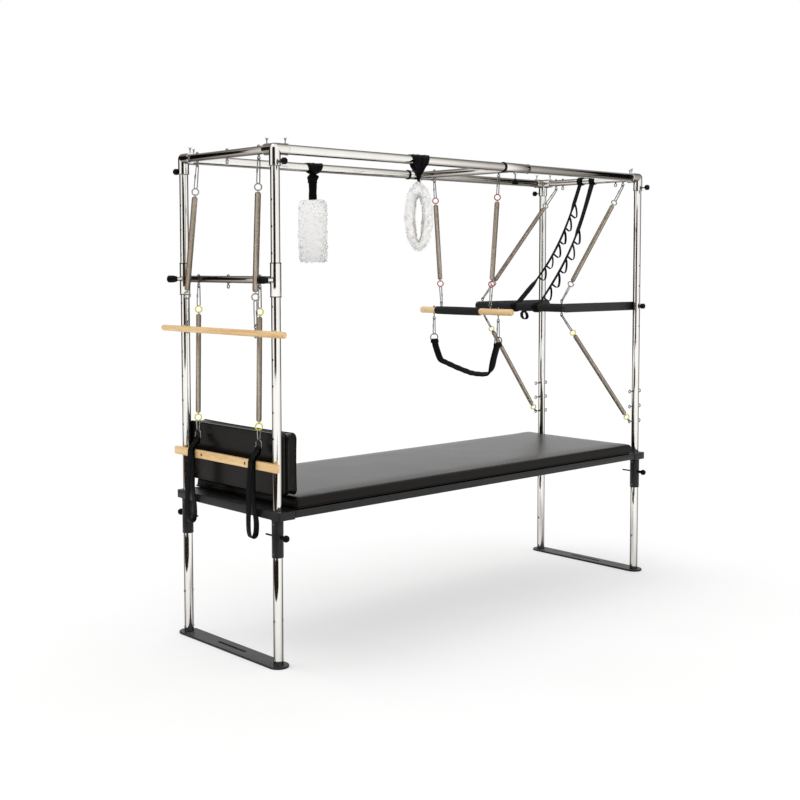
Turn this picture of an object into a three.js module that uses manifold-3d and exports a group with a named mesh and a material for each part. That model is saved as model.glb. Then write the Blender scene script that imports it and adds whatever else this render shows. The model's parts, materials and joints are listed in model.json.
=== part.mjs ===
// Pilates trapeze table: a padded table in a tubular canopy frame, with its bars, springs and straps.
// Millimetres, +Z up, +X along the table to its right end, -Y to the front.
// The origin is on the floor, under the middle of the whole object's outline.

import * as THREE from 'three';
import * as BufferGeometryUtils from 'three/addons/utils/BufferGeometryUtils.js';
import Module from 'manifold-3d';

const wasm = await Module();
wasm.setup();

// Fits shared by all pieces
const seatGap = 0.3;
const slideGap = 0.5;
const linkGap = 0.6;
const wireFaceShare = 0.8;
const screwGap = 0.9;
const turnGap = 0.8;
const mergeGap = 0.001;
const trimGap = 0.05;
const overrun = 3;

// Canopy frame, between the axes of its tubes
const frameLength = 2450;
const frameWidth = 682;
const railHeight = 2165;
const postRadius = 20;
const railRadius = 21;
const endBarRadius = 18;
const tubeWall = 2.5;
const fittingRadius = 24.5;
const railSocket = 64;
const barSocket = 62;
const postSocket = 70;
const socketFloor = 28;
const cornerScrewDrop = 54;
const wingScrewHeight = 24;
const wingScrewRadius = 2.4;
const wingScrewSpan = 14;
const wingScrewInset = 10;

// Peg holes in the posts
const pegHoleRadius = 3.2;
const pegPitch = 110;
const leftPegsBelow = 6;
const leftPegsAbove = 3;
const rightPegsBelow = 1;
const rightPegsAbove = 2;

// Eyebolts and the links that hang in them
const eyeRadius = 8;
const eyeWire = 2.6;
const eyeStem = 3;
const eyeNeck = 6;
const linkWire = 2.6;
const linkWidth = 8;
const linkLength = 82;
const ringRadius = 12;
const ringWire = 2.6;

// Table
const tableTop = 663;
const beamHeight = 36;
const beamOutside = 27;
const beamInside = 61;
const beamOverhang = 48;
const beamCorner = 9;
const postPlug = 24;
const sideRailHeight = 32;
const sideRailWidth = 25;
const sideRailSetback = 4;
const ledgeWidth = 22;
const ledgeHeight = 12;
const mattressThickness = 50;
const mattressEdge = 16;
const mattressCrown = 4;
const mattressDraw = 4;
const mattressEndGap = 5;

// Backrest
const backrestBottom = 720;
const backrestHeight = 262;
const backrestWidth = 706;
const backrestBoard = 15;
const backrestThickness = 76;
const backrestEdge = 22;
const backrestCrown = 5;
const backrestDraw = 4;
const boardCorner = 24;
const slatHeight = 35;
const slatThickness = 20;
const slatCentre = 848;
const slatOverhang = 44;
const slatBoltSpacing = 330;
const slatBoltRadius = 4;

// Legs, their sleeves and lock pins
const legRadius = 21;
const sleeveRadius = 25;
const sleeveLength = 160;
const legTopGap = 7;
const legPinDrop = 73;
const legPinRadius = 4;
const legPinTail = 82;
const legPinReach = 58;
const legPinBall = 15;
const footThickness = 10;
const footRadius = 45;
const footSlotLength = 205;
const footSlotWidth = 12;
const legBoltRadius = 5;
const legBoltHeadReach = 5;
const legBoltHeights = [30, 197];

// Sliding crossbar on the left posts
const crossbarHeight = 1627;
const crossbarRadius = 16;
const collarRadius = 23.5;
const collarLength = 140;
const bossRadius = 9;
const bossReach = 47;
const plungerKnobRadius = 17;
const plungerKnobLength = 40;
const plungerStem = 4;

// Clamp knobs
const knobRadius = 15;
const knobLength = 22;
const knobScrew = 3.6;
const knobFlutes = 8;
const fluteShare = 0.9;
const cornerKnobReach = 49;
const sliderKnobReach = 31;
const sliderKnobLength = 27;
const sliderKnobRadius = 17;
const bossHeight = 6;

// Eyebolt spacing on the two end bars and the crossbar
const springSpacing = 460;
const rightEyeOuter = 480;
const rightEyeInner = 380;

// Roll-down bar
const rollDownHeight = 1404;
const rollDownLength = 920;
const rollDownRadius = 14;
const rollDownSpacing = 516;
const rollDownKnee = 1565;
const springBarGap = 0.8;

// Foot straps under the leg springs
const dRingRise = 104;
const dRingLean = 12;
const dRingHalfWidth = 24;
const dRingHalfHeight = 16;
const dRingWire = 3;
const snapHookLength = 42;
const footStrapWidth = 28;
const webbing = 3;
const footLoopBottom = 538;
const footLoopTop = 715;
const footLoopSpread = 100;
const footLoopWidth = 38;
const footStrapClear = 2;

// Canopy slider and trapeze
const sliderPlace = 236;
const sliderSleeveLength = 176;
const sliderCrossRadius = 20;
const trapezeHeight = 1455;
const trapezeRadius = 16.5;
const trapezeLength = 650;
const trapezeSpacing = 352;
const gripRadius = 21;
const gripLength = 320;
const gripOffset = 52;
const slingSpacing = 462;
const slingEyeNeck = 18;
const slingRingTop = 1328;
const slingRingHalfWidth = 28;
const slingRingHalfHeight = 17;
const slingWidth = 40;
const slingDrop = 158;
const slingPad = 13;
const slingWeb = 6;

// Push-through bar on the right posts
const pushBarHeight = 1468;
const pushBarReach = 565;
const pushArmHeight = 46;
const pushArmThickness = 20;
const pushBarRadius = 22;
const pivotPinRadius = 5;
const pivotKnobStart = 26;
const pivotKnobLength = 26;
const pushEyeSpacing = 570;
const pushTopLinks = [112, 96];
const pushLowLinks = [104, 30];
const postEyeHeights = [835, 917, 1000];

// Springs
const springCurls = 4;
const springSteps = 8;
const springSides = 4;
const springWire = 4.2;
const springNeck = 22;
const rollSpringRadius = 13.5;
const legSpringRadius = 12;
const trapezeSpringRadius = 13;
const pushSpringRadius = 12;

// Fleece cuffs on the long rails, and the safety strap
const cuffWrapRadius = 30;
const cuffWrapWidth = 96;
const cuffStrapWidth = 42;
const cuffStrapThickness = 8;
const fleeceWidth = 132;
const fleeceHeight = 310;
const fleeceDepth = 140;
const fleeceHoleWidth = 42;
const fleeceHoleTop = 68;
const fleeceHoleBelly = 130;
const fleeceHoleBottom = 258;
const fleeceHoleFootShare = 0.5;
const fleeceEdge = 12;
const rearCuff = { x: -487, y: 1, drop: 152, turn: 46.7 };
const frontCuff = { x: -415, y: -1, drop: 99, turn: -43.3 };
const safetyWidth = 25;
const safetyThickness = 4;
const safetyTop = [48, -34];
const safetyBottom = [0, -118];

// Worked out from the sizes above
const halfLength = frameLength / 2;
const halfWidth = frameWidth / 2;
const beamHalfY = halfWidth + beamOverhang;
const beamBottom = tableTop - beamHeight;
const beamInnerX = halfLength - beamInside;
const sleeveBottom = beamBottom - sleeveLength;
const legPinHeight = beamBottom - legPinDrop;
const legTop = beamBottom - legTopGap;

// Faces round tubes and small parts
const tubeSides = 10;
const postFlat = postRadius * Math.cos(Math.PI / tubeSides);
const boreSides = 8;
const smallSides = 6;
const cornerSteps = 3;
const roundSteps = 4;
const strapSteps = 4;
const fleeceSteps = 4;
const bevelSteps = 2;
const ballRows = 6;
const mattressFaces = [3, 2, 1];
const backrestFaces = [2, 3, 1];
const wireSides = 4;
const eyeSteps = 8;
const linkSteps = 6;

const chrome = { color: 0xd7d6d3, roughness: 0.16, metalness: 1 };
const steelWire = { color: 0x8f8b86, roughness: 0.35, metalness: 1 };
const blackPaint = { color: 0x2b2c2e, roughness: 0.5, metalness: 0.3 };
const blackPlastic = { color: 0x18191a, roughness: 0.5, metalness: 0 };
const vinyl = { color: 0x333436, roughness: 0.62, metalness: 0 };
const board = { color: 0x202124, roughness: 0.7, metalness: 0 };
const maple = { color: 0xdcb27c, roughness: 0.5, metalness: 0 };
const strapBlack = { color: 0x1c1c1e, roughness: 0.9, metalness: 0 };
const fleece = { color: 0xf2efe8, roughness: 1, metalness: 0 };

const axisX = new THREE.Vector3(1, 0, 0);
const axisY = new THREE.Vector3(0, 1, 0);
const axisZ = new THREE.Vector3(0, 0, 1);

const point = (x, y, z) => new THREE.Vector3(x, y, z);

// Solids and their joins

function solid(geometry) {
  const bare = geometry.clone();
  bare.deleteAttribute('normal');
  if (bare.getAttribute('uv')) bare.deleteAttribute('uv');
  const merged = BufferGeometryUtils.mergeVertices(bare, mergeGap);
  return new wasm.Manifold(new wasm.Mesh({
    numProp: 3,
    vertProperties: new Float32Array(merged.getAttribute('position').array),
    triVerts: new Uint32Array(merged.getIndex().array),
  }));
}

function join(...solids) {
  return solids.reduce((whole, piece) => whole.add(piece));
}

function cut(body, ...cutters) {
  return cutters.reduce((rest, cutter) => rest.subtract(cutter), body);
}

function geometryOf(body) {
  const mesh = body.simplify(trimGap).getMesh();
  const geometry = new THREE.BufferGeometry();
  geometry.setAttribute('position', new THREE.BufferAttribute(new Float32Array(mesh.vertProperties), 3));
  geometry.setIndex(new THREE.BufferAttribute(new Uint32Array(mesh.triVerts), 1));
  return geometry;
}

// A round bar between two points

function rod(from, to, radius, sides = tubeSides) {
  const along = to.clone().sub(from);
  const geometry = new THREE.CylinderGeometry(radius, radius, along.length(), sides);
  const turn = new THREE.Quaternion().setFromUnitVectors(axisY, along.clone().normalize());
  geometry.applyQuaternion(turn);
  geometry.translate(...from.clone().add(to).divideScalar(2).toArray());
  return solid(geometry);
}

// A hollow tube between two points, open at both ends

function tube(from, to, radius, wall, sides = tubeSides) {
  const along = to.clone().sub(from).normalize().multiplyScalar(overrun);
  const bore = rod(from.clone().sub(along), to.clone().add(along), radius - wall, sides);
  return cut(rod(from, to, radius, sides), bore);
}

// A rectangular block between two corners

function block(low, high) {
  const size = high.clone().sub(low);
  const geometry = new THREE.BoxGeometry(...size.toArray());
  geometry.translate(...low.clone().add(high).divideScalar(2).toArray());
  return solid(geometry);
}

// An outline drawn in the plane of two axes and extruded along a third

function plate(shape, depth, origin, across, up, curveSteps = roundSteps) {
  const normal = across.clone().cross(up);
  const geometry = new THREE.ExtrudeGeometry(shape, {
    depth,
    bevelEnabled: false,
    curveSegments: curveSteps,
  });
  geometry.applyMatrix4(new THREE.Matrix4().makeBasis(across, up, normal).setPosition(origin));
  return solid(geometry);
}

function roundedRectangle(width, height, radius) {
  const right = width / 2;
  const top = height / 2;
  const shape = new THREE.Shape();
  shape.absarc(right - radius, top - radius, radius, 0, Math.PI / 2);
  shape.absarc(radius - right, top - radius, radius, Math.PI / 2, Math.PI);
  shape.absarc(radius - right, radius - top, radius, Math.PI, Math.PI * 1.5);
  shape.absarc(right - radius, radius - top, radius, Math.PI * 1.5, Math.PI * 2);
  return shape;
}

// A closed ring of wire round a centre, facing along its normal

function ring(centre, normal, radius, wire) {
  const geometry = new THREE.TorusGeometry(radius, wire, wireSides, eyeSteps);
  geometry.applyQuaternion(new THREE.Quaternion().setFromUnitVectors(axisZ, normal));
  geometry.translate(...centre.toArray());
  return solid(geometry);
}

// A long link of wire: a ring parted at its middle, from the apex at one end to the apex at the other

function link(from, to, facing, halfWidth, wire) {
  const along = to.clone().sub(from);
  const halfStep = Math.PI / linkSteps;
  const geometry = new THREE.TorusGeometry(halfWidth / Math.cos(halfStep), wire, wireSides, linkSteps);
  geometry.rotateZ(halfStep);
  const stretch = along.length() / 2 - halfWidth;
  const position = geometry.getAttribute('position');
  for (let i = 0; i < position.count; i += 1) {
    position.setY(i, position.getY(i) + Math.sign(position.getY(i)) * stretch);
  }
  const up = along.clone().normalize();
  const across = up.clone().cross(facing).normalize();
  const out = across.clone().cross(up);
  const middle = from.clone().add(to).divideScalar(2);
  geometry.applyMatrix4(new THREE.Matrix4().makeBasis(across, up, out).setPosition(middle));
  return solid(geometry);
}

// An eyebolt in a bar: a stem and a wire eye.
// A link hangs on the eye's far wire, or where a slanting pull draws it.

function eyeHang(root, direction, neck = eyeNeck) {
  return root.clone().addScaledVector(direction, neck + 2 * eyeRadius);
}

function eyePull(root, direction, target, normal) {
  const centre = root.clone().addScaledVector(direction, eyeNeck + eyeRadius);
  const pull = target.clone().sub(centre).projectOnPlane(normal).normalize();
  return centre.addScaledVector(pull, eyeRadius);
}

function eyebolt(root, direction, normal, neck = eyeNeck, sink = overrun) {
  const at = (distance) => root.clone().addScaledVector(direction, distance);
  return join(
    rod(at(-sink), at(neck + eyeWire / 2), eyeStem, wireSides),
    ring(at(neck + eyeRadius), normal, eyeRadius, eyeWire));
}

// A helical tube with straight ends along its axis

function helixPoints(length, coilRadius, wire) {
  const lead = Math.max(springNeck, 2 * wire);
  const steps = springCurls * springSteps;
  const rise = (length - 2 * lead) / steps;
  const grow = springSteps / 2;
  const points = [point(0, 0, 0), point(0, 0, lead)];
  for (let i = 1; i < steps; i += 1) {
    const angle = (i / springSteps) * 2 * Math.PI;
    const radius = coilRadius * Math.min(1, i / grow, (steps - i) / grow);
    points.push(point(radius * Math.cos(angle), radius * Math.sin(angle), lead + i * rise));
  }
  points.push(point(0, 0, length - lead), point(0, 0, length));
  return points;
}

function leastGap(points, wire) {
  let gap = Infinity;
  for (let i = 0; i < points.length; i += 1) {
    for (let j = i + springSteps - 1; j < points.length; j += 1) {
      gap = Math.min(gap, points[i].distanceTo(points[j]) - 2 * wire);
    }
  }
  return gap;
}

function tubeThrough(points, radius, sides) {
  const positions = [];
  const faces = [];
  let side = axisX.clone();
  points.forEach((centre, i) => {
    const before = points[Math.max(0, i - 1)];
    const after = points[Math.min(points.length - 1, i + 1)];
    const ahead = after.clone().sub(before).normalize();
    side = side.clone().addScaledVector(ahead, -side.dot(ahead)).normalize();
    const up = ahead.clone().cross(side);
    for (let k = 0; k < sides; k += 1) {
      const turn = (k / sides) * 2 * Math.PI;
      const spot = centre.clone().addScaledVector(side, radius * Math.cos(turn));
      positions.push(...spot.addScaledVector(up, radius * Math.sin(turn)).toArray());
    }
  });
  for (let i = 0; i + 1 < points.length; i += 1) {
    for (let k = 0; k < sides; k += 1) {
      const next = (k + 1) % sides;
      const here = i * sides;
      faces.push(here + k, here + next, here + sides + k);
      faces.push(here + next, here + sides + next, here + sides + k);
    }
  }
  const last = (points.length - 1) * sides;
  for (let k = 1; k + 1 < sides; k += 1) {
    faces.push(0, k + 1, k);
    faces.push(last, last + k, last + k + 1);
  }
  const geometry = new THREE.BufferGeometry();
  geometry.setAttribute('position', new THREE.BufferAttribute(new Float32Array(positions), 3));
  geometry.setIndex(faces);
  return geometry;
}

let springGap = Infinity;

function coil(from, to, outerRadius) {
  const along = to.clone().sub(from);
  const points = helixPoints(along.length(), outerRadius - springWire, springWire);
  springGap = Math.min(springGap, leastGap(points, springWire));
  const geometry = tubeThrough(points, springWire, springSides);
  geometry.applyQuaternion(new THREE.Quaternion().setFromUnitVectors(axisZ, along.normalize()));
  geometry.translate(...from.toArray());
  return solid(geometry);
}

// A spring with its rings and snap links, hung between two wires.
// The knee is where its coil ends; below it the last ring and link may hang in another direction.

function springLine(from, to, {
  radius, links = [linkLength, linkLength], facing, lowFacing = facing, knee, held,
}) {
  const lowLength = links[1] + 2 * ringRadius;
  const bend = knee ?? to.clone().addScaledVector(to.clone().sub(from).normalize(), -lowLength);
  const along = bend.clone().sub(from).normalize();
  const below = to.clone().sub(bend).normalize();
  const hook = wireFaceShare * (eyeWire + linkWire) + linkGap;
  const top = from.clone().addScaledVector(along, links[0]);
  const ringStart = top.clone().addScaledVector(along, 2 * ringRadius);
  const ringEnd = bend.clone().addScaledVector(below, 2 * ringRadius);
  const ringFacing = along.clone().cross(facing).normalize();
  const lowRingFacing = below.clone().cross(lowFacing).normalize();
  return join(
    link(from.clone().addScaledVector(along, -hook), top, facing, linkWidth, linkWire),
    link(top, ringStart, ringFacing, ringRadius, ringWire),
    coil(ringStart, bend, radius),
    link(bend, ringEnd, lowRingFacing, ringRadius, ringWire),
    link(ringEnd, to.clone().addScaledVector(below, held ? 0 : hook), lowFacing, linkWidth, linkWire),
  );
}

// A padded block with a crown, rounded edges and drawn-in sides

function gridLines(half, edge, inner) {
  const edgeShares = [0, 0.3, 1];
  const near = edgeShares.map((share) => share * edge - half);
  const lines = [...near];
  for (let i = 1; i < inner; i += 1) lines.push(edge - half + (i / inner) * 2 * (half - edge));
  return [...lines, ...near.map((place) => -place).reverse()];
}

function cushion(size, edge, crown, draw, inner) {
  const half = size.clone().divideScalar(2);
  const lines = half.toArray().map((reach, axis) => gridLines(reach, edge, inner[axis]));
  const counts = lines.map((list) => list.length - 1);
  const geometry = new THREE.BoxGeometry(...counts, ...counts);
  const position = geometry.getAttribute('position');
  const spot = point(0, 0, 0);
  for (let i = 0; i < position.count; i += 1) {
    spot.fromBufferAttribute(position, i);
    const place = spot.toArray().map((value, axis) => lines[axis][Math.round(value + counts[axis] / 2)]);
    spot.fromArray(place);
    const core = spot.clone().clamp(
      half.clone().negate().addScalar(edge), half.clone().subScalar(edge));
    const out = spot.clone().sub(core);
    spot.copy(core).addScaledVector(out.normalize(), edge);
    const shareX = 1 - (spot.x / half.x) ** 2;
    const shareY = 1 - (spot.y / half.y) ** 2;
    const level = spot.z / half.z;
    if (level > 0) spot.z += level * crown * shareX * shareY;
    spot.y -= Math.sign(spot.y) * draw * shareX * (spot.y / half.y) ** 2;
    spot.x -= Math.sign(spot.x) * draw * shareY * (spot.x / half.x) ** 2;
    position.setXYZ(i, ...spot.toArray());
  }
  return geometry;
}

// Table frame

function endBeam(side) {
  const outerX = side * (halfLength + beamOutside);
  const innerX = side * beamInnerX;
  const middleX = (outerX + innerX) / 2;
  const outline = roundedRectangle(beamOutside + beamInside, 2 * beamHalfY, beamCorner);
  let beam = plate(outline, beamHeight, point(middleX, 0, beamBottom), axisX, axisY, cornerSteps);
  for (const front of [-1, 1]) {
    const x = side * halfLength;
    const y = front * halfWidth;
    const sleeve = rod(point(x, y, sleeveBottom), point(x, y, beamBottom + overrun), sleeveRadius);
    const bore = rod(point(x, y, sleeveBottom - overrun), point(x, y, beamBottom), legRadius + slideGap);
    const socket = rod(point(x, y, tableTop - postPlug), point(x, y, tableTop + overrun),
      postRadius + seatGap);
    const pinHole = rod(
      point(x, y - sleeveRadius - overrun, legPinHeight),
      point(x, y + sleeveRadius + overrun, legPinHeight), legPinRadius + slideGap, boreSides);
    beam = cut(join(beam, sleeve), bore, socket, pinHole);
  }
  return beam;
}

function sideRail(front) {
  const outerY = beamHalfY - sideRailSetback;
  const innerY = outerY - sideRailWidth;
  const bottom = tableTop - sideRailHeight;
  const shape = new THREE.Shape();
  shape.moveTo(outerY, bottom);
  shape.lineTo(outerY, tableTop);
  shape.lineTo(innerY, tableTop);
  shape.lineTo(innerY, bottom + ledgeHeight);
  shape.lineTo(innerY - ledgeWidth, bottom + ledgeHeight);
  shape.lineTo(innerY - ledgeWidth, bottom);
  const reach = beamInnerX - seatGap;
  const across = axisY.clone().multiplyScalar(front);
  const start = point(-front * reach, 0, 0);
  return plate(shape, 2 * reach, start, across, axisZ);
}

function deck() {
  const innerY = beamHalfY - sideRailSetback - sideRailWidth - seatGap;
  const seat = tableTop - sideRailHeight + ledgeHeight + seatGap;
  const reach = beamInnerX - seatGap;
  return block(point(-reach, -innerY, seat), point(reach, innerY, tableTop));
}

function mattress() {
  const reach = beamInnerX - mattressEndGap;
  const size = point(2 * reach, 2 * (beamHalfY - sideRailSetback), mattressThickness);
  const geometry = cushion(size, mattressEdge, mattressCrown, mattressDraw, mattressFaces);
  geometry.translate(0, 0, tableTop + seatGap + mattressThickness / 2);
  return solid(geometry);
}

// Backrest, clamped to the left posts by its slat

const boardBack = -halfLength + postFlat + seatGap;
const slatFront = -halfLength - postFlat - seatGap;
const backrestMiddle = backrestBottom + backrestHeight / 2;

function backrestPanel() {
  const outline = roundedRectangle(backrestWidth, backrestHeight, boardCorner);
  return plate(outline, backrestBoard, point(boardBack, 0, backrestMiddle), axisY, axisZ, cornerSteps);
}

function backrestPad() {
  const size = point(backrestHeight, backrestWidth, backrestThickness);
  const geometry = cushion(size, backrestEdge, backrestCrown, backrestDraw, backrestFaces);
  geometry.rotateY(Math.PI / 2);
  const middle = boardBack + backrestBoard + seatGap + backrestThickness / 2;
  geometry.translate(middle, 0, backrestMiddle);
  return solid(geometry);
}

function backrestSlat() {
  const halfY = halfWidth + slatOverhang;
  const slat = block(
    point(slatFront - slatThickness, -halfY, slatCentre - slatHeight / 2),
    point(slatFront, halfY, slatCentre + slatHeight / 2));
  const bolts = [-1, 1].map((front) => {
    const y = (front * slatBoltSpacing) / 2;
    return rod(point(slatFront - overrun, y, slatCentre), point(boardBack - seatGap, y, slatCentre),
      slatBoltRadius, smallSides);
  });
  return join(slat, ...bolts);
}

// Canopy frame

function pegHoles(x, y, below, above, direction, base) {
  const holes = [];
  for (let i = -below; i <= above; i += 1) {
    const start = point(x, y, base + i * pegPitch);
    const end = start.clone().addScaledVector(direction, postRadius + overrun);
    holes.push(rod(start, end, pegHoleRadius, smallSides));
  }
  return holes;
}

function postEyes(x, y) {
  return postEyeHeights.map((height) => {
    const root = point(x - postRadius, y, height);
    return eyebolt(root, axisX.clone().negate(), axisY);
  });
}

function post(side, front) {
  const x = side * halfLength;
  const y = front * halfWidth;
  const bottom = tableTop - postPlug + seatGap;
  const top = railHeight - socketFloor - seatGap;
  const body = tube(point(x, y, bottom), point(x, y, top), postRadius, tubeWall);
  if (side < 0) {
    return cut(body, ...pegHoles(x, y, leftPegsBelow, leftPegsAbove, axisX.clone().negate(), crossbarHeight));
  }
  const outward = axisY.clone().multiplyScalar(front);
  const pivot = rod(
    point(x, y - postRadius - overrun, pushBarHeight),
    point(x, y + postRadius + overrun, pushBarHeight), pivotPinRadius + slideGap, boreSides);
  const holes = pegHoles(x, y, rightPegsBelow, rightPegsAbove, outward, pushBarHeight);
  return join(cut(body, pivot, ...holes), ...postEyes(x, y));
}

function longRail(front) {
  const reach = halfLength - socketFloor - seatGap;
  const y = front * halfWidth;
  return tube(point(-reach, y, railHeight), point(reach, y, railHeight), railRadius, tubeWall);
}

function wingScrew(x, y, wings) {
  const foot = point(x, y, railHeight + fittingRadius - overrun);
  const head = point(x, y, railHeight + fittingRadius + wingScrewHeight);
  const arm = wings.clone().multiplyScalar(wingScrewSpan / 2);
  return join(
    rod(foot, head, wingScrewRadius, wireSides),
    rod(head.clone().sub(arm), head.clone().add(arm), wingScrewRadius, wireSides));
}

function cornerFitting(side, front) {
  const corner = point(side * halfLength, front * halfWidth, railHeight);
  const toRail = point(-side, 0, 0);
  const toBar = point(0, -front, 0);
  const down = point(0, 0, -1);
  const arm = (direction, length) =>
    rod(corner, corner.clone().addScaledVector(direction, length), fittingRadius);
  const bore = (direction, length, radius) => rod(
    corner.clone().addScaledVector(direction, socketFloor),
    corner.clone().addScaledVector(direction, length + overrun), radius + seatGap);
  const knobHole = corner.clone().add(point(0, 0, -cornerScrewDrop));
  const body = cut(
    join(arm(toRail, railSocket), arm(toBar, barSocket), arm(down, postSocket),
      solid(new THREE.SphereGeometry(fittingRadius, tubeSides, tubeSides / 2)
        .rotateX(Math.PI / 2).translate(...corner.toArray()))),
    bore(toRail, railSocket, railRadius),
    bore(down, postSocket, postRadius),
    rod(knobHole, knobHole.clone().add(point(0, front * (fittingRadius + overrun), 0)),
      knobScrew + screwGap, boreSides));
  const inset = railSocket - wingScrewInset;
  return join(body,
    wingScrew(corner.x - side * inset, corner.y, axisY),
    wingScrew(corner.x, corner.y - front * inset, axisX));
}

function topFrame(side, eyePlaces) {
  const x = side * halfLength;
  const bar = rod(point(x, -halfWidth, railHeight), point(x, halfWidth, railHeight), endBarRadius);
  const eyes = eyePlaces.map((y) => eyebolt(
    point(x, y, railHeight - endBarRadius), point(0, 0, -1), axisX));
  return join(cornerFitting(side, -1), cornerFitting(side, 1), bar, ...eyes);
}

// Legs

function footPlate(side) {
  const shape = new THREE.Shape();
  shape.absarc(0, halfWidth, footRadius, 0, Math.PI);
  shape.absarc(0, -halfWidth, footRadius, Math.PI, Math.PI * 2);
  const slot = new THREE.Path();
  const slotReach = (footSlotLength - footSlotWidth) / 2;
  slot.absarc(0, slotReach, footSlotWidth / 2, 0, Math.PI);
  slot.absarc(0, -slotReach, footSlotWidth / 2, Math.PI, Math.PI * 2);
  shape.holes.push(slot);
  return plate(shape, footThickness, point(side * halfLength, 0, 0), axisX, axisY);
}

function leg(side, front) {
  const x = side * halfLength;
  const y = front * halfWidth;
  const bottom = footThickness + seatGap;
  const slotWidth = legPinRadius + slideGap;
  const body = tube(point(x, y, bottom), point(x, y, legTop), legRadius, tubeWall);
  const pinSeat = rod(
    point(x, y - legRadius - overrun, legPinHeight), point(x, y + legRadius + overrun, legPinHeight),
    slotWidth, boreSides);
  const slot = block(
    point(x - slotWidth, y - legRadius - overrun, legPinHeight),
    point(x + slotWidth, y + legRadius + overrun, legTop + overrun));
  const bolts = legBoltHeights.map((height) => rod(
    point(x - legRadius - legBoltHeadReach, y, height), point(x + legRadius + legBoltHeadReach, y, height),
    legBoltRadius, smallSides));
  return join(cut(body, pinSeat, slot), ...bolts);
}

function legPin(side, front) {
  const x = side * halfLength;
  const y = front * halfWidth;
  const ball = new THREE.SphereGeometry(legPinBall, boreSides, ballRows);
  ball.rotateX(Math.PI / 2);
  ball.translate(x, y + front * legPinReach, legPinHeight);
  return join(
    rod(point(x, y - front * legPinTail, legPinHeight), point(x, y + front * legPinReach, legPinHeight),
      legPinRadius, boreSides),
    solid(ball));
}

// Knobs with a fluted rim on a screw or stem

function flutedKnob(start, direction, radius, length) {
  const shape = new THREE.Shape();
  for (let i = 0; i < 2 * knobFlutes; i += 1) {
    const turn = (i / knobFlutes) * Math.PI;
    const reach = i % 2 ? radius * fluteShare : radius;
    if (i) shape.lineTo(reach * Math.cos(turn), reach * Math.sin(turn));
    else shape.moveTo(reach, 0);
  }
  const across = Math.abs(direction.x) > 0 ? axisY : axisX;
  const up = direction.clone().cross(across);
  return plate(shape, length, start, across, up);
}

function screwKnob(base, direction, tip, reach, radius, length) {
  const at = (distance) => base.clone().addScaledVector(direction, distance);
  return join(
    rod(at(tip), at(reach + overrun), knobScrew, smallSides),
    flutedKnob(at(reach), direction, radius, length));
}

function cornerKnob(side, front) {
  const base = point(side * halfLength, front * halfWidth, railHeight - cornerScrewDrop);
  return screwKnob(base, point(0, front, 0), postRadius + slideGap, cornerKnobReach, knobRadius, knobLength);
}

function sliderKnob(front) {
  const base = point(sliderPlace, front * halfWidth, railHeight);
  const reach = collarRadius + sliderKnobReach;
  return screwKnob(base, point(0, 0, -1), railRadius + slideGap, reach, sliderKnobRadius, sliderKnobLength);
}

// Sliding crossbar and its spring plungers

function crossbar() {
  const x = -halfLength;
  const bar = rod(point(x, -halfWidth, crossbarHeight), point(x, halfWidth, crossbarHeight), crossbarRadius);
  const parts = [bar];
  const cutters = [];
  for (const front of [-1, 1]) {
    const y = front * halfWidth;
    const low = point(x, y, crossbarHeight - collarLength / 2);
    const high = point(x, y, crossbarHeight + collarLength / 2);
    parts.push(rod(low, high, collarRadius));
    parts.push(rod(
      point(x, y, crossbarHeight), point(x - bossReach, y, crossbarHeight), bossRadius, boreSides));
    cutters.push(rod(
      low.clone().setZ(low.z - overrun), high.clone().setZ(high.z + overrun), postRadius + slideGap));
    cutters.push(rod(point(x, y, crossbarHeight), point(x - bossReach - overrun, y, crossbarHeight),
      plungerStem + slideGap, smallSides));
  }
  for (const y of [-springSpacing / 2, 0, springSpacing / 2]) {
    parts.push(eyebolt(point(x, y, crossbarHeight - crossbarRadius), point(0, 0, -1), axisX));
  }
  return cut(join(...parts), ...cutters);
}

function plunger(front) {
  const base = point(-halfLength, front * halfWidth, crossbarHeight);
  const at = (distance) => base.clone().add(point(-distance, 0, 0));
  return join(
    rod(at(postRadius + seatGap), at(bossReach + overrun), plungerStem, smallSides),
    flutedKnob(at(bossReach + seatGap), point(-1, 0, 0), plungerKnobRadius, plungerKnobLength));
}

// Roll-down bar on its two springs, which lie against the crossbar at any height of its travel

const topEyeHeight = railHeight - endBarRadius - eyeNeck - 2 * eyeRadius;
const springOffset = crossbarRadius + rollSpringRadius + springBarGap;
const rollDownLean = springOffset / (topEyeHeight - crossbarHeight - pegPitch);
const rollDownX = -halfLength - rollDownLean * (topEyeHeight - rollDownKnee);

function rollDownBar() {
  const ends = [-1, 1].map((front) => point(rollDownX, (front * rollDownLength) / 2, rollDownHeight));
  const eyes = [-1, 1].map((front) => eyebolt(
    point(rollDownX, (front * rollDownSpacing) / 2, rollDownHeight + rollDownRadius),
    axisZ, axisX));
  return join(rod(...ends, rollDownRadius), ...eyes);
}

function rollDownSpring(front) {
  const root = point(rollDownX, (front * rollDownSpacing) / 2, rollDownHeight + rollDownRadius);
  return springLine(
    point(-halfLength, (front * springSpacing) / 2, topEyeHeight),
    eyeHang(root, axisZ),
    {
      radius: rollSpringRadius,
      facing: axisY,
      knee: point(rollDownX, root.y, rollDownKnee),
    });
}

// Leg springs under the crossbar, each with a D ring for its foot strap

const dRingX = -halfLength - dRingLean;
const dRingTop = slatCentre + dRingRise;

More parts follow.
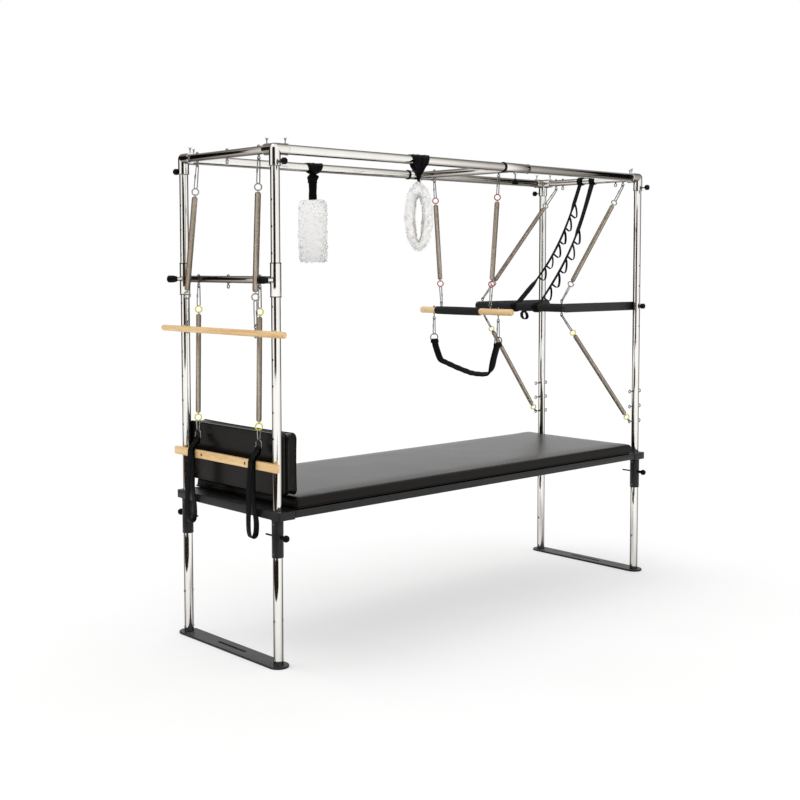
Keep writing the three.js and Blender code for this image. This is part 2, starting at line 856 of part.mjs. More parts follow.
function legSpring(front) {
  const y = (front * springSpacing) / 2;
  const root = point(-halfLength, y, crossbarHeight - crossbarRadius);
  const ringMiddle = dRingTop - dRingHalfHeight;
  const line = springLine(eyeHang(root, point(0, 0, -1)), point(dRingX, y, dRingTop), {
    radius: legSpringRadius,
    links: [linkLength, snapHookLength],
    facing: axisY,
    held: true,
  });
  const dRing = link(
    point(dRingX, y - dRingHalfWidth, ringMiddle), point(dRingX, y + dRingHalfWidth, ringMiddle),
    axisX, dRingHalfHeight, dRingWire);
  return join(line, dRing);
}

// A webbing strap: folded round the D ring's lower bar, led over the slat and opened into a foot loop

function footStrap(front) {
  const eyeX = dRingX;
  const eyeZ = dRingTop - 2 * dRingHalfHeight;
  const eye = dRingWire + screwGap;
  const neckX = slatFront - slatThickness - footStrapClear - webbing;
  const slatTop = slatCentre + slatHeight / 2 + footStrapClear;
  const reach = footLoopWidth / 2;
  const loopX = -halfLength - beamOutside - footStrapClear - webbing - reach;
  const roundZ = footLoopBottom + webbing + reach;
  const spreadZ = footLoopTop - footLoopSpread;
  const bendZ = (footLoopTop + spreadZ) / 2;
  const outer = reach + webbing;
  const shape = new THREE.Shape();
  shape.absarc(eyeX, eyeZ, eye + webbing, 0, Math.PI);
  shape.lineTo(neckX - webbing, slatTop);
  shape.lineTo(neckX - webbing, footLoopTop);
  shape.bezierCurveTo(neckX - webbing, bendZ, loopX - outer, bendZ, loopX - outer, spreadZ);
  shape.absarc(loopX, roundZ, outer, Math.PI, Math.PI * 2);
  shape.lineTo(loopX + outer, spreadZ);
  shape.bezierCurveTo(loopX + outer, bendZ, neckX + webbing, bendZ, neckX + webbing, footLoopTop);
  shape.lineTo(neckX + webbing, slatTop);
  const opening = new THREE.Path();
  opening.moveTo(neckX, footLoopTop - webbing);
  opening.bezierCurveTo(neckX, bendZ, loopX + reach, bendZ, loopX + reach, spreadZ - webbing);
  opening.absarc(loopX, roundZ, reach, 0, Math.PI, true);
  opening.lineTo(loopX - reach, spreadZ - webbing);
  opening.bezierCurveTo(loopX - reach, bendZ, neckX, bendZ, neckX, footLoopTop - webbing);
  const ringHole = new THREE.Path();
  ringHole.absarc(eyeX, eyeZ, eye, 0, Math.PI * 2);
  shape.holes.push(opening, ringHole);
  const start = (front * springSpacing) / 2 + footStrapWidth / 2;
  return plate(shape, footStrapWidth, point(0, start, 0), axisX, axisZ, strapSteps);
}

// Canopy slider: a cross tube between two sleeves on the long rails

function canopySlider() {
  const parts = [rod(
    point(sliderPlace, -halfWidth, railHeight), point(sliderPlace, halfWidth, railHeight), sliderCrossRadius)];
  const cutters = [];
  for (const front of [-1, 1]) {
    const y = front * halfWidth;
    const ends = [-1, 1].map((end) => point(sliderPlace + (end * sliderSleeveLength) / 2, y, railHeight));
    parts.push(rod(...ends, collarRadius));
    cutters.push(rod(ends[0].clone().setX(ends[0].x - overrun), ends[1].clone().setX(ends[1].x + overrun),
      railRadius + slideGap));
    parts.push(rod(
      point(sliderPlace, y, railHeight), point(sliderPlace, y, railHeight - collarRadius - bossHeight),
      bossRadius, boreSides));
    cutters.push(rod(point(sliderPlace, y, railHeight),
      point(sliderPlace, y, railHeight - collarRadius - bossHeight - overrun), knobScrew + screwGap, boreSides));
    parts.push(eyebolt(point(sliderPlace, (front * springSpacing) / 2, railHeight - sliderCrossRadius),
      point(0, 0, -1), axisX));
  }
  return cut(join(...parts), ...cutters);
}

// Trapeze: a bar with a foam grip on two springs

function trapezeBar() {
  const middle = point(sliderPlace, 0, trapezeHeight);
  const bar = rod(point(sliderPlace, -trapezeLength / 2, trapezeHeight),
    point(sliderPlace, trapezeLength / 2, trapezeHeight), trapezeRadius);
  const sink = gripRadius - trapezeRadius + overrun;
  const eyes = [-1, 1].flatMap((front) => [
    eyebolt(middle.clone().add(point(0, (front * trapezeSpacing) / 2, gripRadius)), axisZ, axisX,
      eyeNeck, sink),
    eyebolt(middle.clone().add(point(0, (front * slingSpacing) / 2, -trapezeRadius)), point(0, 0, -1), axisY,
      slingEyeNeck),
  ]);
  return join(bar, ...eyes);
}

function trapezeGrip() {
  const low = point(sliderPlace, gripOffset - gripLength / 2, trapezeHeight);
  const high = point(sliderPlace, gripOffset + gripLength / 2, trapezeHeight);
  const grip = tube(low, high, gripRadius, gripRadius - trapezeRadius - seatGap);
  const eye = point(sliderPlace, trapezeSpacing / 2, trapezeHeight);
  const reach = point(0, 0, gripRadius + overrun);
  return cut(grip, rod(eye, eye.clone().add(reach), eyeStem + screwGap, boreSides));
}

function trapezeSpring(front) {
  const root = point(sliderPlace, (front * springSpacing) / 2, railHeight - sliderCrossRadius);
  const low = point(sliderPlace, (front * trapezeSpacing) / 2, trapezeHeight + gripRadius);
  return springLine(eyeHang(root, point(0, 0, -1)), eyeHang(low, axisZ),
    { radius: trapezeSpringRadius, facing: axisY });
}

// A band of webbing along a line of points, thicker where it is padded

function ribbon(points, halves) {
  const sides = points.map((spot, i) => {
    const before = points[Math.max(0, i - 1)];
    const after = points[Math.min(points.length - 1, i + 1)];
    const along = after.clone().sub(before).normalize();
    return new THREE.Vector2(-along.y, along.x).multiplyScalar(halves[i]);
  });
  const left = points.map((spot, i) => spot.clone().add(sides[i]));
  const right = points.map((spot, i) => spot.clone().sub(sides[i]));
  return new THREE.Shape([...right, ...left.reverse()]);
}

// Places along the sling, as shares of its half spacing and of its drop; pad shares its thickness
const slingShares = [
  { side: 0.985, drop: 0, pad: 1 },
  { side: 0.9, drop: 0.3, pad: 1 },
  { side: 0.81, drop: 0.58, pad: 1 },
  { side: 0.74, drop: 0.63, pad: 0 },
  { side: -0.12, drop: 0.98, pad: 0 },
  { side: -0.62, drop: 1, pad: 0 },
  { side: -0.76, drop: 0.95, pad: 1 },
  { side: -0.86, drop: 0.5, pad: 1 },
  { side: -0.985, drop: 0, pad: 1 },
];

function sling() {
  const half = slingSpacing / 2;
  const ringMiddle = slingRingTop - slingRingHalfHeight;
  const top = slingRingTop - 2 * slingRingHalfHeight;
  const points = slingShares.map(({ side, drop }) => new THREE.Vector2(side * half, top - drop * slingDrop));
  const halves = slingShares.map(({ pad }) => (pad ? slingPad : slingWeb) / 2);
  const band = plate(ribbon(points, halves), slingWidth, point(sliderPlace - slingWidth / 2, 0, 0), axisY, axisZ);
  const hook = wireFaceShare * (eyeWire + linkWire) + linkGap;
  const ends = [-1, 1].flatMap((front) => {
    const y = front * half;
    const root = point(sliderPlace, y, trapezeHeight - trapezeRadius);
    const hang = eyeHang(root, point(0, 0, -1), slingEyeNeck);
    return [
      link(hang.clone().setZ(hang.z + hook), point(sliderPlace, y, slingRingTop), axisX, linkWidth, linkWire),
      link(point(sliderPlace - slingRingHalfWidth, y, ringMiddle), point(sliderPlace + slingRingHalfWidth, y, ringMiddle),
        axisY, slingRingHalfHeight, dRingWire),
    ];
  });
  return join(band, ...ends);
}

// Push-through bar: two arms on pivot pins in the right posts, joined by a padded bar

const pushBarX = halfLength - pushBarReach;
const pushArmOuter = halfWidth - postRadius - slideGap;
const pushArmInner = pushArmOuter - pushArmThickness;

function pushBar() {
  const shape = new THREE.Shape();
  shape.absarc(halfLength, pushBarHeight, pushArmHeight / 2, -Math.PI / 2, Math.PI / 2);
  shape.absarc(pushBarX, pushBarHeight, pushArmHeight / 2, Math.PI / 2, Math.PI * 1.5);
  const arms = [pushArmInner, -pushArmOuter].map((y) => plate(
    shape, pushArmThickness, point(0, y + pushArmThickness, 0), axisX, axisZ));
  const bar = rod(point(pushBarX, -pushArmInner - overrun, pushBarHeight),
    point(pushBarX, pushArmInner + overrun, pushBarHeight), pushBarRadius);
  const eyes = [-1, 1].flatMap((front) => [1, -1].map((up) => eyebolt(
    point(pushBarX, (front * pushEyeSpacing) / 2, pushBarHeight + up * pushBarRadius),
    point(0, 0, up), axisY)));
  const bore = rod(point(halfLength, -pushArmOuter - overrun, pushBarHeight),
    point(halfLength, pushArmOuter + overrun, pushBarHeight), pivotPinRadius + slideGap, boreSides);
  return cut(join(bar, ...arms, ...eyes), bore);
}

function pivotPin(front) {
  const base = point(halfLength, 0, pushBarHeight);
  const at = (distance) => base.clone().add(point(0, front * distance, 0));
  return join(
    rod(at(pushArmInner + overrun), at(halfWidth + pivotKnobStart + overrun), pivotPinRadius, boreSides),
    flutedKnob(at(halfWidth + pivotKnobStart), point(0, front, 0), knobRadius, pivotKnobLength));
}

function pushTopSpring(front) {
  const root = point(pushBarX, (front * pushEyeSpacing) / 2, pushBarHeight + pushBarRadius);
  const high = point(halfLength, (front * rightEyeOuter) / 2, topEyeHeight);
  return springLine(high, eyePull(root, axisZ, high, axisY),
    { radius: pushSpringRadius, links: pushTopLinks, facing: axisY, lowFacing: axisX });
}

function pushLowSpring(front) {
  const root = point(pushBarX, (front * pushEyeSpacing) / 2, pushBarHeight - pushBarRadius);
  const low = point(halfLength - postRadius, front * halfWidth, postEyeHeights[0]);
  return springLine(eyePull(root, point(0, 0, -1), low, axisY), eyePull(low, point(-1, 0, 0), root, axisY),
    { radius: pushSpringRadius, links: pushLowLinks, facing: axisX, lowFacing: axisZ });
}

// Safety strap from the right top bar to the push-through bar: two strands between wrapped ends

function strand(from, to, width, thickness) {
  const along = to.clone().sub(from);
  const up = along.clone().normalize();
  const out = axisY.clone().cross(up).normalize();
  const across = up.clone().cross(out);
  const geometry = new THREE.BoxGeometry(width, along.length(), thickness);
  geometry.applyMatrix4(new THREE.Matrix4().makeBasis(across, up, out)
    .setPosition(from.clone().add(to).divideScalar(2)));
  return solid(geometry);
}

function wrap(x, z, fromY, toY, radius) {
  const outer = radius + seatGap + safetyThickness;
  return tube(point(x, fromY, z), point(x, toY, z), outer, safetyThickness);
}

function safetyStrap() {
  const [topLeft, topRight] = safetyTop;
  const half = safetyWidth / 2;
  const along = point(pushBarX - halfLength, 0, pushBarHeight - railHeight).normalize();
  const topReach = endBarRadius + seatGap + safetyThickness / 2;
  const lowReach = pushBarRadius + seatGap + safetyThickness / 2;
  const strands = safetyTop.map((y, i) => strand(
    point(halfLength, y, railHeight).addScaledVector(along, topReach),
    point(pushBarX, safetyBottom[i], pushBarHeight).addScaledVector(along, -lowReach),
    safetyWidth, safetyThickness));
  return join(
    wrap(halfLength, railHeight, topRight - half, topLeft + half, endBarRadius),
    ...safetyBottom.map((y) => wrap(pushBarX, pushBarHeight, y - half, y + half, pushBarRadius)),
    ...strands);
}

// Fleece cuffs: a webbing wrap on the rail, a short strap and a padded loop with an eye-shaped opening

function fleeceLoop(top) {
  const shape = new THREE.Shape();
  shape.absellipse(0, top - fleeceHeight / 2, fleeceWidth / 2, fleeceHeight / 2, 0, Math.PI * 2);
  const half = fleeceHoleWidth / 2;
  const belly = top - fleeceHoleBelly;
  const hole = new THREE.Path();
  hole.moveTo(0, top - fleeceHoleTop);
  hole.quadraticCurveTo(half, top - fleeceHoleTop, half, belly);
  hole.lineTo(half * fleeceHoleFootShare, top - fleeceHoleBottom);
  hole.lineTo(-half * fleeceHoleFootShare, top - fleeceHoleBottom);
  hole.lineTo(-half, belly);
  hole.quadraticCurveTo(-half, top - fleeceHoleTop, 0, top - fleeceHoleTop);
  shape.holes.push(hole);
  const geometry = new THREE.ExtrudeGeometry(shape, {
    depth: fleeceDepth - 2 * fleeceEdge,
    bevelThickness: fleeceEdge,
    bevelSize: fleeceEdge,
    bevelOffset: -fleeceEdge,
    bevelSegments: bevelSteps,
    curveSegments: fleeceSteps,
  });
  geometry.translate(0, 0, fleeceEdge - fleeceDepth / 2);
  geometry.rotateX(Math.PI / 2);
  return geometry;
}

function cuff({ x, y, drop, turn }) {
  const top = railHeight - drop;
  const half = cuffWrapWidth / 2;
  const wrapTube = cut(
    rod(point(-half, 0, railHeight), point(half, 0, railHeight), cuffWrapRadius),
    rod(point(-half - overrun, 0, railHeight), point(half + overrun, 0, railHeight),
      railRadius + turnGap, 2 * tubeSides));
  const strapTop = railHeight - cuffWrapRadius + overrun;
  const strap = new THREE.BoxGeometry(cuffStrapThickness, cuffStrapWidth, strapTop - top + 2 * fleeceEdge);
  strap.translate(0, 0, (strapTop + top) / 2 - fleeceEdge);
  const spin = new THREE.Matrix4().makeRotationZ(THREE.MathUtils.degToRad(turn));
  const pieces = [strap, fleeceLoop(top)].map((geometry) => solid(geometry.applyMatrix4(spin)));
  const group = geometryOf(join(wrapTube, ...pieces));
  group.translate(x, y * halfWidth, 0);
  return group;
}

// The whole object, moved so that the middle of its outline is over the origin

const leftReach = halfLength + bossReach + seatGap + plungerKnobLength;
const rightReach = halfLength + Math.max(beamOutside, footRadius);
const table = new THREE.Group();
table.position.x = (leftReach - rightReach) / 2;

function add(name, look, shape) {
  const geometry = shape.getMesh ? geometryOf(shape) : shape;
  const mesh = new THREE.Mesh(geometry, new THREE.MeshStandardMaterial(look));
  mesh.name = name;
  table.add(mesh);
}

const ends = [['left', -1], ['right', 1]];
const fronts = [['front', -1], ['rear', 1]];

for (const [end, side] of ends) {
  add(`${end}_end_beam`, blackPaint, endBeam(side));
  add(`${end}_foot_plate`, blackPaint, footPlate(side));
  for (const [row, front] of fronts) {
    add(`${end}_${row}_post`, chrome, post(side, front));
    add(`${end}_${row}_leg`, chrome, leg(side, front));
    add(`${end}_${row}_leg_pin`, blackPlastic, legPin(side, front));
    add(`${end}_${row}_corner_knob`, blackPlastic, cornerKnob(side, front));
  }
}

add('left_top_frame', chrome, topFrame(-1, [-springSpacing / 2, 0, springSpacing / 2]));
add('right_top_frame', chrome,
  topFrame(1, [-rightEyeOuter / 2, -rightEyeInner / 2, rightEyeInner / 2, rightEyeOuter / 2]));
add('deck', maple, deck());
add('mattress', vinyl, mattress());
add('backrest_board', board, backrestPanel());
add('backrest_cushion', vinyl, backrestPad());
add('backrest_slat', maple, backrestSlat());
add('sliding_crossbar', chrome, crossbar());
add('canopy_slider', chrome, canopySlider());
add('roll_down_bar', maple, rollDownBar());
add('trapeze_bar', maple, trapezeBar());
add('trapeze_grip', blackPlastic, trapezeGrip());
add('trapeze_sling', strapBlack, sling());
add('push_through_bar', blackPaint, pushBar());
add('safety_strap', strapBlack, safetyStrap());
add('rear_fleece_cuff', fleece, cuff(rearCuff));
add('front_fleece_cuff', fleece, cuff(frontCuff));

for (const [row, front] of fronts) {
  add(`${row}_long_rail`, chrome, longRail(front));
  add(`${row}_side_rail`, blackPaint, sideRail(front));
  add(`${row}_plunger`, blackPlastic, plunger(front));
  add(`${row}_slider_knob`, blackPlastic, sliderKnob(front));
  add(`${row}_pivot_pin`, blackPlastic, pivotPin(front));
  add(`${row}_roll_down_spring`, steelWire, rollDownSpring(front));
  add(`${row}_leg_spring`, steelWire, legSpring(front));
  add(`${row}_foot_strap`, strapBlack, footStrap(front));
  add(`${row}_trapeze_spring`, steelWire, trapezeSpring(front));
  add(`${row}_push_top_spring`, steelWire, pushTopSpring(front));
  add(`${row}_push_low_spring`, steelWire, pushLowSpring(front));
}

console.log(`least gap of a spring to itself: ${springGap.toFixed(2)} mm`);

export default table;
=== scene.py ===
"""Pilates trapeze table: detailed surfaces and finishes around its measured frame."""

import json
import math

import bmesh
import bpy
import numpy as np
from mathutils import Euler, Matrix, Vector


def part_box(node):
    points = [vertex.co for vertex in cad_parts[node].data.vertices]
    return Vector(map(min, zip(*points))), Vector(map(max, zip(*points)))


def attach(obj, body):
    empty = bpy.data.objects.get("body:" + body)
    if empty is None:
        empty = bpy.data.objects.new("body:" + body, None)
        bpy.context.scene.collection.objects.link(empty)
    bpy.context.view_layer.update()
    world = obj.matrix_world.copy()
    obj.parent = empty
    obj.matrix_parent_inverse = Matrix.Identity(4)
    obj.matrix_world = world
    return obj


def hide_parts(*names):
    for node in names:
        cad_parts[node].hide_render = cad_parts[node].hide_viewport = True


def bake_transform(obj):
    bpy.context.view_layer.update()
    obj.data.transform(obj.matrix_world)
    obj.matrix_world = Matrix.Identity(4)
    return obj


bl_info = {
    "name": "Pilates trapeze table",
    "version": (1, 0, 0),
    "blender": (4, 5, 0),
    "location": "3D View > Sidebar > Trapeze table",
    "description": "Builds the tubes, springs, straps and upholstery of a pilates trapeze table",
    "category": "Object",
}

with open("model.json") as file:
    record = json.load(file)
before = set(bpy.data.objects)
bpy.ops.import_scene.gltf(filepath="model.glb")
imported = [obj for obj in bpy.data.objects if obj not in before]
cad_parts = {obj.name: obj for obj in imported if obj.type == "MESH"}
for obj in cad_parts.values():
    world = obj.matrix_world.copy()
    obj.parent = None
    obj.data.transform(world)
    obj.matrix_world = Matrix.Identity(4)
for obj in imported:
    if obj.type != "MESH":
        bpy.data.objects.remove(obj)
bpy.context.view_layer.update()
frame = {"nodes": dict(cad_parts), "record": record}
BODY_OF = {
    node: body
    for body, nodes in frame["record"]["behaviour"]["bodies"].items()
    for node in nodes
}

# Sizes of the frame, in millimetres from here on, with x = 0 halfway between the posts
MM = 0.001
SHIFT = 500.0 * (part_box("deck")[0].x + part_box("deck")[1].x)
HALF_LENGTH = 1225.0
HALF_WIDTH = 341.0
RAIL_HEIGHT = 2165.0
POST_RADIUS = 20.0
RAIL_RADIUS = 21.0
END_BAR_RADIUS = 18.0
FITTING_RADIUS = 24.5
TABLE_TOP = 663.0
BEAM_BOTTOM = 627.0
SPRING_Y = 230.0
CROSSBAR_HEIGHT = 1627.0
CROSSBAR_RADIUS = 16.0
PEG_PITCH = 110.0
POST_EYES = (835.0, 917.0, 1000.0)
SCREW_REACH = 54.0
SLIDER_X = 236.0
SLIDER_RADIUS = 20.0
TRAPEZE_HEIGHT = 1455.0
TRAPEZE_RADIUS = 16.5
TRAPEZE_EYE_Y = 176.0
TRAPEZE_LIFT = 21.0
SLING_Y = 231.0
SLING_NECK = 18.0
PUSH_X = 660.0
PUSH_HEIGHT = 1468.0
PUSH_RADIUS = 22.0
PUSH_EYE_Y = 285.0
ROLL_DOWN_HEIGHT = 1404.0
ROLL_DOWN_RADIUS = 14.0
ROLL_EYE_Y = 258.0
ROLL_KNEE = 1565.0
ROLL_SPRING_RADIUS = 13.5
D_RING_X = -HALF_LENGTH - 12.0
D_RING_TOP = 952.0
D_RING_PIN = 920.0
EYE_RADIUS = 8.0
EYE_NECK = 6.0
EYE_WIRE = 2.6
LINK_WIRE = 2.6
RING_RADIUS = 12.0
RING_SHOWN = 14.6
HOOK = 5.8
TOP_EYE = RAIL_HEIGHT - END_BAR_RADIUS - EYE_NECK - 2 * EYE_RADIUS
LEAN_REACH = TOP_EYE - CROSSBAR_HEIGHT - PEG_PITCH
ROLL_LEAN = (CROSSBAR_RADIUS + ROLL_SPRING_RADIUS + 0.8) / LEAN_REACH
ROLL_DOWN_X = -HALF_LENGTH - ROLL_LEAN * (TOP_EYE - ROLL_KNEE)
MATTRESS = (2317.0, 770.0, 50.0)
BACKREST = (262.0, 706.0, 76.0)
BACKREST_HEIGHT = 851.0
BOARD_FACE = -1190.7
WELT_HOLD = 14.0
CUFF_SECTION = 44

X_AXIS = np.array([1.0, 0.0, 0.0])
Y_AXIS = np.array([0.0, 1.0, 0.0])
Z_AXIS = np.array([0.0, 0.0, 1.0])
ENDS = (("left", -1.0), ("right", 1.0))
SIDES = (("front", -1.0), ("rear", 1.0))
BOTH = (-1.0, 1.0)

# The materials that most pieces are made of
CHROME = "polished_chrome"
ZINC = "zinc_plate"
PAINT = "powder_coat"
NYLON = "moulded_nylon"
VINYL = "upholstery_vinyl"


def at(x, y, z):
    """A point in millimetres, or a row of points where a coordinate is an array."""
    return np.stack(np.broadcast_arrays(x, y, z), -1).astype(float)


def unit(vectors):
    """Each vector divided by its length."""
    vectors = np.asarray(vectors, float)
    return vectors / np.maximum(np.linalg.norm(vectors, axis=-1, keepdims=True), 1e-12)


def across_of(direction):
    """Two unit vectors square to a direction and to each other."""
    along = unit(direction)
    near = X_AXIS if abs(along[0]) < 0.8 else Y_AXIS
    side = unit(np.cross(near, along))
    return side, np.cross(along, side)


def ease(share):
    """3 s^2 - 2 s^3 of a share held between 0 and 1: a smooth step."""
    share = np.clip(share, 0.0, 1.0)
    return share * share * (3.0 - 2.0 * share)


def waves(points, pitch, seed, octaves):
    """Sum of sine products along three turned axes: smooth unevenness in about -1 to 1."""
    rng = np.random.default_rng(seed)
    total = np.zeros(points.shape[:-1])
    for octave in range(octaves):
        turn = rng.normal(size=(3, 3)) * (2.0**octave * 2.0 * math.pi / pitch / 1.7)
        phase = rng.uniform(0.0, 2.0 * math.pi, 3)
        total += np.prod(np.sin(points @ turn + phase), axis=-1) / 1.6**octave
    return total


# Surfaces on a grid of two parameters


def skin(stuff, points, loop_rows=False):
    """A surface through rings of points, with its lengths along and round them as UV in metres."""
    points = np.asarray(points, float)
    rows, columns = points.shape[:2]
    row = np.arange(rows if loop_rows else rows - 1)
    i, j = np.meshgrid(row, np.arange(columns), indexing="ij")
    i2, j2 = (i + 1) % rows, (j + 1) % columns
    faces = np.stack([i * columns + j, i * columns + j2, i2 * columns + j2, i2 * columns + j], -1)
    down = np.linalg.norm(np.roll(points, -1, 0) - points, axis=-1).mean(1)
    over = np.linalg.norm(np.roll(points, -1, 1) - points, axis=-1).max(0)
    u = np.concatenate([[0.0], np.cumsum(down)]) * MM
    v = np.concatenate([[0.0], np.cumsum(over)]) * MM
    corners = ((i, j), (i, j + 1), (i + 1, j + 1), (i + 1, j))
    uv = np.stack([np.stack([u[a], v[b]], -1) for a, b in corners], -2)
    return {
        "stuff": stuff,
        "points": points.reshape(-1, 3),
        "faces": faces.reshape(-1, 4),
        "uv": uv.reshape(-1, 2),
    }


def turned(stuff, start, direction, profile, sides, flutes=0, depth=0.0, closed=False):
    """Profile of (distance, radius) turned about an axis: a wall's outline is closed on itself.

    point = start + distance * axis + radius * (1 - depth * dip(angle)) * (cos, sin across it),
    where dip = (1 + cos(flutes * angle)) / 2."""
    profile = np.asarray(profile, float)
    along = unit(direction)
    side, up = across_of(along)
    angle = np.linspace(0.0, 2.0 * math.pi, sides, endpoint=False)
    radial = np.cos(angle)[:, None] * side + np.sin(angle)[:, None] * up
    dip = 1.0 - depth * (0.5 + 0.5 * np.cos(flutes * angle)) if flutes else np.ones(sides)
    reach = profile[:, 1][:, None] * dip
    points = start + profile[:, 0][:, None, None] * along + reach[..., None] * radial
    return skin(stuff, points, closed)


def ball(radius, start=0.0, steps=15):
    """Profile of a ball, from its near pole or from an angle past it."""
    bend = np.linspace(start, math.pi, steps)
    return np.stack([radius * (1 - np.cos(bend)), radius * np.sin(bend)], -1)


def eased_end(length, radius, edge, steps=4):
    """Profile of a rod of one radius whose two rims are quarter circles of radius edge."""
    bend = np.linspace(0.0, math.pi / 2, steps)
    start = np.stack([edge * (1 - np.sin(bend)), radius - edge * (1 - np.cos(bend))], -1)[::-1]
    end = np.stack([length - edge * (1 - np.sin(bend)), radius - edge * (1 - np.cos(bend))], -1)
    return np.concatenate([[[0.0, 0.0]], start, end, [[length, 0.0]]])


def rod(stuff, a, b, radius, edge, sides):
    """A round bar with eased rims between two points."""
    return turned(stuff, a, b - a, eased_end(np.linalg.norm(b - a), radius, edge), sides)


def hollow(stuff, a, b, outer, inner, edge=0.8, sides=44):
    """A tube with a bore: its wall's outline, closed on itself, turned about the axis."""
    length = np.linalg.norm(b - a)
    wall = [
        [edge, inner], [0.0, inner + edge], [0.0, outer - edge], [edge * 0.3, outer - edge * 0.3],
        [edge, outer], [length - edge, outer], [length - edge * 0.3, outer - edge * 0.3],
        [length, outer - edge], [length, inner + edge], [length - edge, inner],
    ]
    return turned(stuff, a, b - a, wall, sides, closed=True)


def heading(path, closed):
    """The unit direction in which a path runs at each of its points."""
    if closed:
        return unit(np.roll(path, -1, 0) - np.roll(path, 1, 0))
    return unit(np.gradient(path, axis=0))


def capped(stuff, path, points, closed):
    """A surface through sections along a path, drawn to a point at both ends of an open one."""
    if not closed:
        cap = np.ones((1, points.shape[1], 1))
        points = np.concatenate([cap * path[0], points, cap * path[-1]])
    return skin(stuff, points, closed)


def wire(stuff, path, radius, facing, closed=False, sides=8):
    """A round wire along a path: circles square to the path, turned to a fixed facing direction."""
    path = np.asarray(path, float)
    ahead = heading(path, closed)
    side = unit(np.cross(np.broadcast_to(facing, path.shape), ahead))
    up = np.cross(ahead, side)
    radius = np.broadcast_to(radius, len(path))[:, None, None]
    angle = np.linspace(0.0, 2.0 * math.pi, sides, endpoint=False)
    circle = np.cos(angle)[:, None] * side[:, None] + np.sin(angle)[:, None] * up[:, None]
    return capped(stuff, path, path[:, None] + radius * circle, closed)


def ring(stuff, centre, normal, radius, thick, steps=28):
    """A wire circle about a centre, square to its normal."""
    side, up = across_of(normal)
    turn = np.linspace(0.0, 2.0 * math.pi, steps, endpoint=False)[:, None]
    path = centre + radius * (np.cos(turn) * side + np.sin(turn) * up)
    return wire(stuff, path, thick, unit(normal), closed=True)


def loop_path(a, b, normal, half_a, half_b, steps=12):
    """Outline of a long link: a half circle at each end, with its own half width, in one plane."""
    along = unit(b - a)
    side = np.cross(unit(normal), along)
    turn = np.linspace(0.0, math.pi, steps)[:, None]
    far = b - along * half_b + half_b * (np.cos(turn) * side + np.sin(turn) * along)
    near = a + along * half_a - half_a * (np.cos(turn) * side + np.sin(turn) * along)
    return np.concatenate([far, near])


def snap_hook(a, b, normal, half=8.0):
    """A snap hook: a pear-shaped wire link with a thicker gate sleeve on one leg."""
    narrow = half * 0.72
    body = wire(ZINC, loop_path(a, b, normal, narrow, half), LINK_WIRE,
                unit(normal), closed=True)
    along = unit(b - a)
    side = np.cross(unit(normal), along)
    length = np.linalg.norm(b - a)
    low = a + along * length * 0.4 + side * (narrow + (half - narrow) * 0.4)
    high = a + along * length * 0.58 + side * (narrow + (half - narrow) * 0.58)
    return [body, rod(ZINC, low, high, LINK_WIRE + 1.0, 0.8, 14)]


def webbing(path, across, width, thick, closed=False):
    """A flat band: a section with round edges carried along a path, its width along across."""
    path = np.asarray(path, float)
    ahead = heading(path, closed)
    across = unit(np.broadcast_to(across, path.shape))
    across = unit(across - ahead * np.sum(across * ahead, -1, keepdims=True))
    out = np.cross(ahead, across)
    width = np.broadcast_to(width, len(path))[:, None] / 2
    half = np.broadcast_to(thick, len(path))[:, None] / 2
    turn = np.linspace(-math.pi / 2, math.pi / 2, 5)
    flat = np.linspace(-0.8, 0.8, 5)[1:-1]
    rim = width - half + half * np.cos(turn)
    inner = (width - half) * flat
    x = np.concatenate([rim, inner[:, ::-1], -rim, inner], 1)
    y = half * np.sin(turn)
    y = np.concatenate([y, half + 0 * inner, -y, 0 * inner - half], 1)
    points = path[:, None] + x[..., None] * across[:, None] + y[..., None] * out[:, None]
    return capped("woven_webbing", path, points, closed)


def smooth_path(knots, steps):
    """A Catmull-Rom curve through the knots, worked out for all spans at once."""
    knots = np.asarray(knots, float)
    ends = np.concatenate([[2 * knots[0] - knots[1]], knots, [2 * knots[-1] - knots[-2]]])
    t = np.linspace(0.0, 1.0, steps, endpoint=False)[None, :, None]
    a, b, c, d = (ends[k : len(ends) - 3 + k, None] for k in range(4))
    curve = 0.5 * (2 * b + (c - a) * t + (2 * a - 5 * b + 4 * c - d) * t**2
                   + (3 * b - a - 3 * c + d) * t**3)
    return np.concatenate([curve.reshape(-1, knots.shape[1]), knots[-1:]])


def rounded_outline(width, height, radius, steps):
    """A rectangle with quarter-circle corners, as (n, 2) points."""
    turn = np.linspace(0.0, math.pi / 2, steps)
    quarter = np.arange(4)[:, None] * math.pi / 2 + turn
    sign = np.array([[1, 1], [-1, 1], [-1, -1], [1, -1]], float)
    centre = sign * (np.array([width, height]) / 2 - radius)
    spots = centre[:, None] + radius * np.stack([np.cos(quarter), np.sin(quarter)], -1)
    return spots.reshape(-1, 2)


def stadium(a, b, radius, start, steps):
    """A long outline with a half circle about each of two points, the first begun at an angle."""
    turn = np.linspace(start, start + math.pi, steps)
    half = radius * np.stack([np.cos(turn), np.sin(turn)], -1)
    return np.concatenate([np.array(a) + half, np.array(b) - half])


def dense(outline, gap):
    """The same closed outline with points no further apart than a gap."""
    following = np.roll(outline, -1, 0)
    counts = np.maximum(1, np.ceil(np.linalg.norm(following - outline, axis=1) / gap)).astype(int)
    start = np.repeat(np.arange(len(outline)), counts)
    step = np.arange(counts.sum()) - np.repeat(np.cumsum(counts) - counts, counts)
    share = (step / counts[start])[:, None]
    return outline[start] * (1 - share) + following[start] * share


def outline_normals(outline):
    """Unit normals that point out of a counter-clockwise outline."""
    ahead = unit(np.roll(outline, -1, 0) - outline)
    behind = unit(outline - np.roll(outline, 1, 0))
    mean = unit(ahead + behind)
    return np.stack([mean[:, 1], -mean[:, 0]], -1)


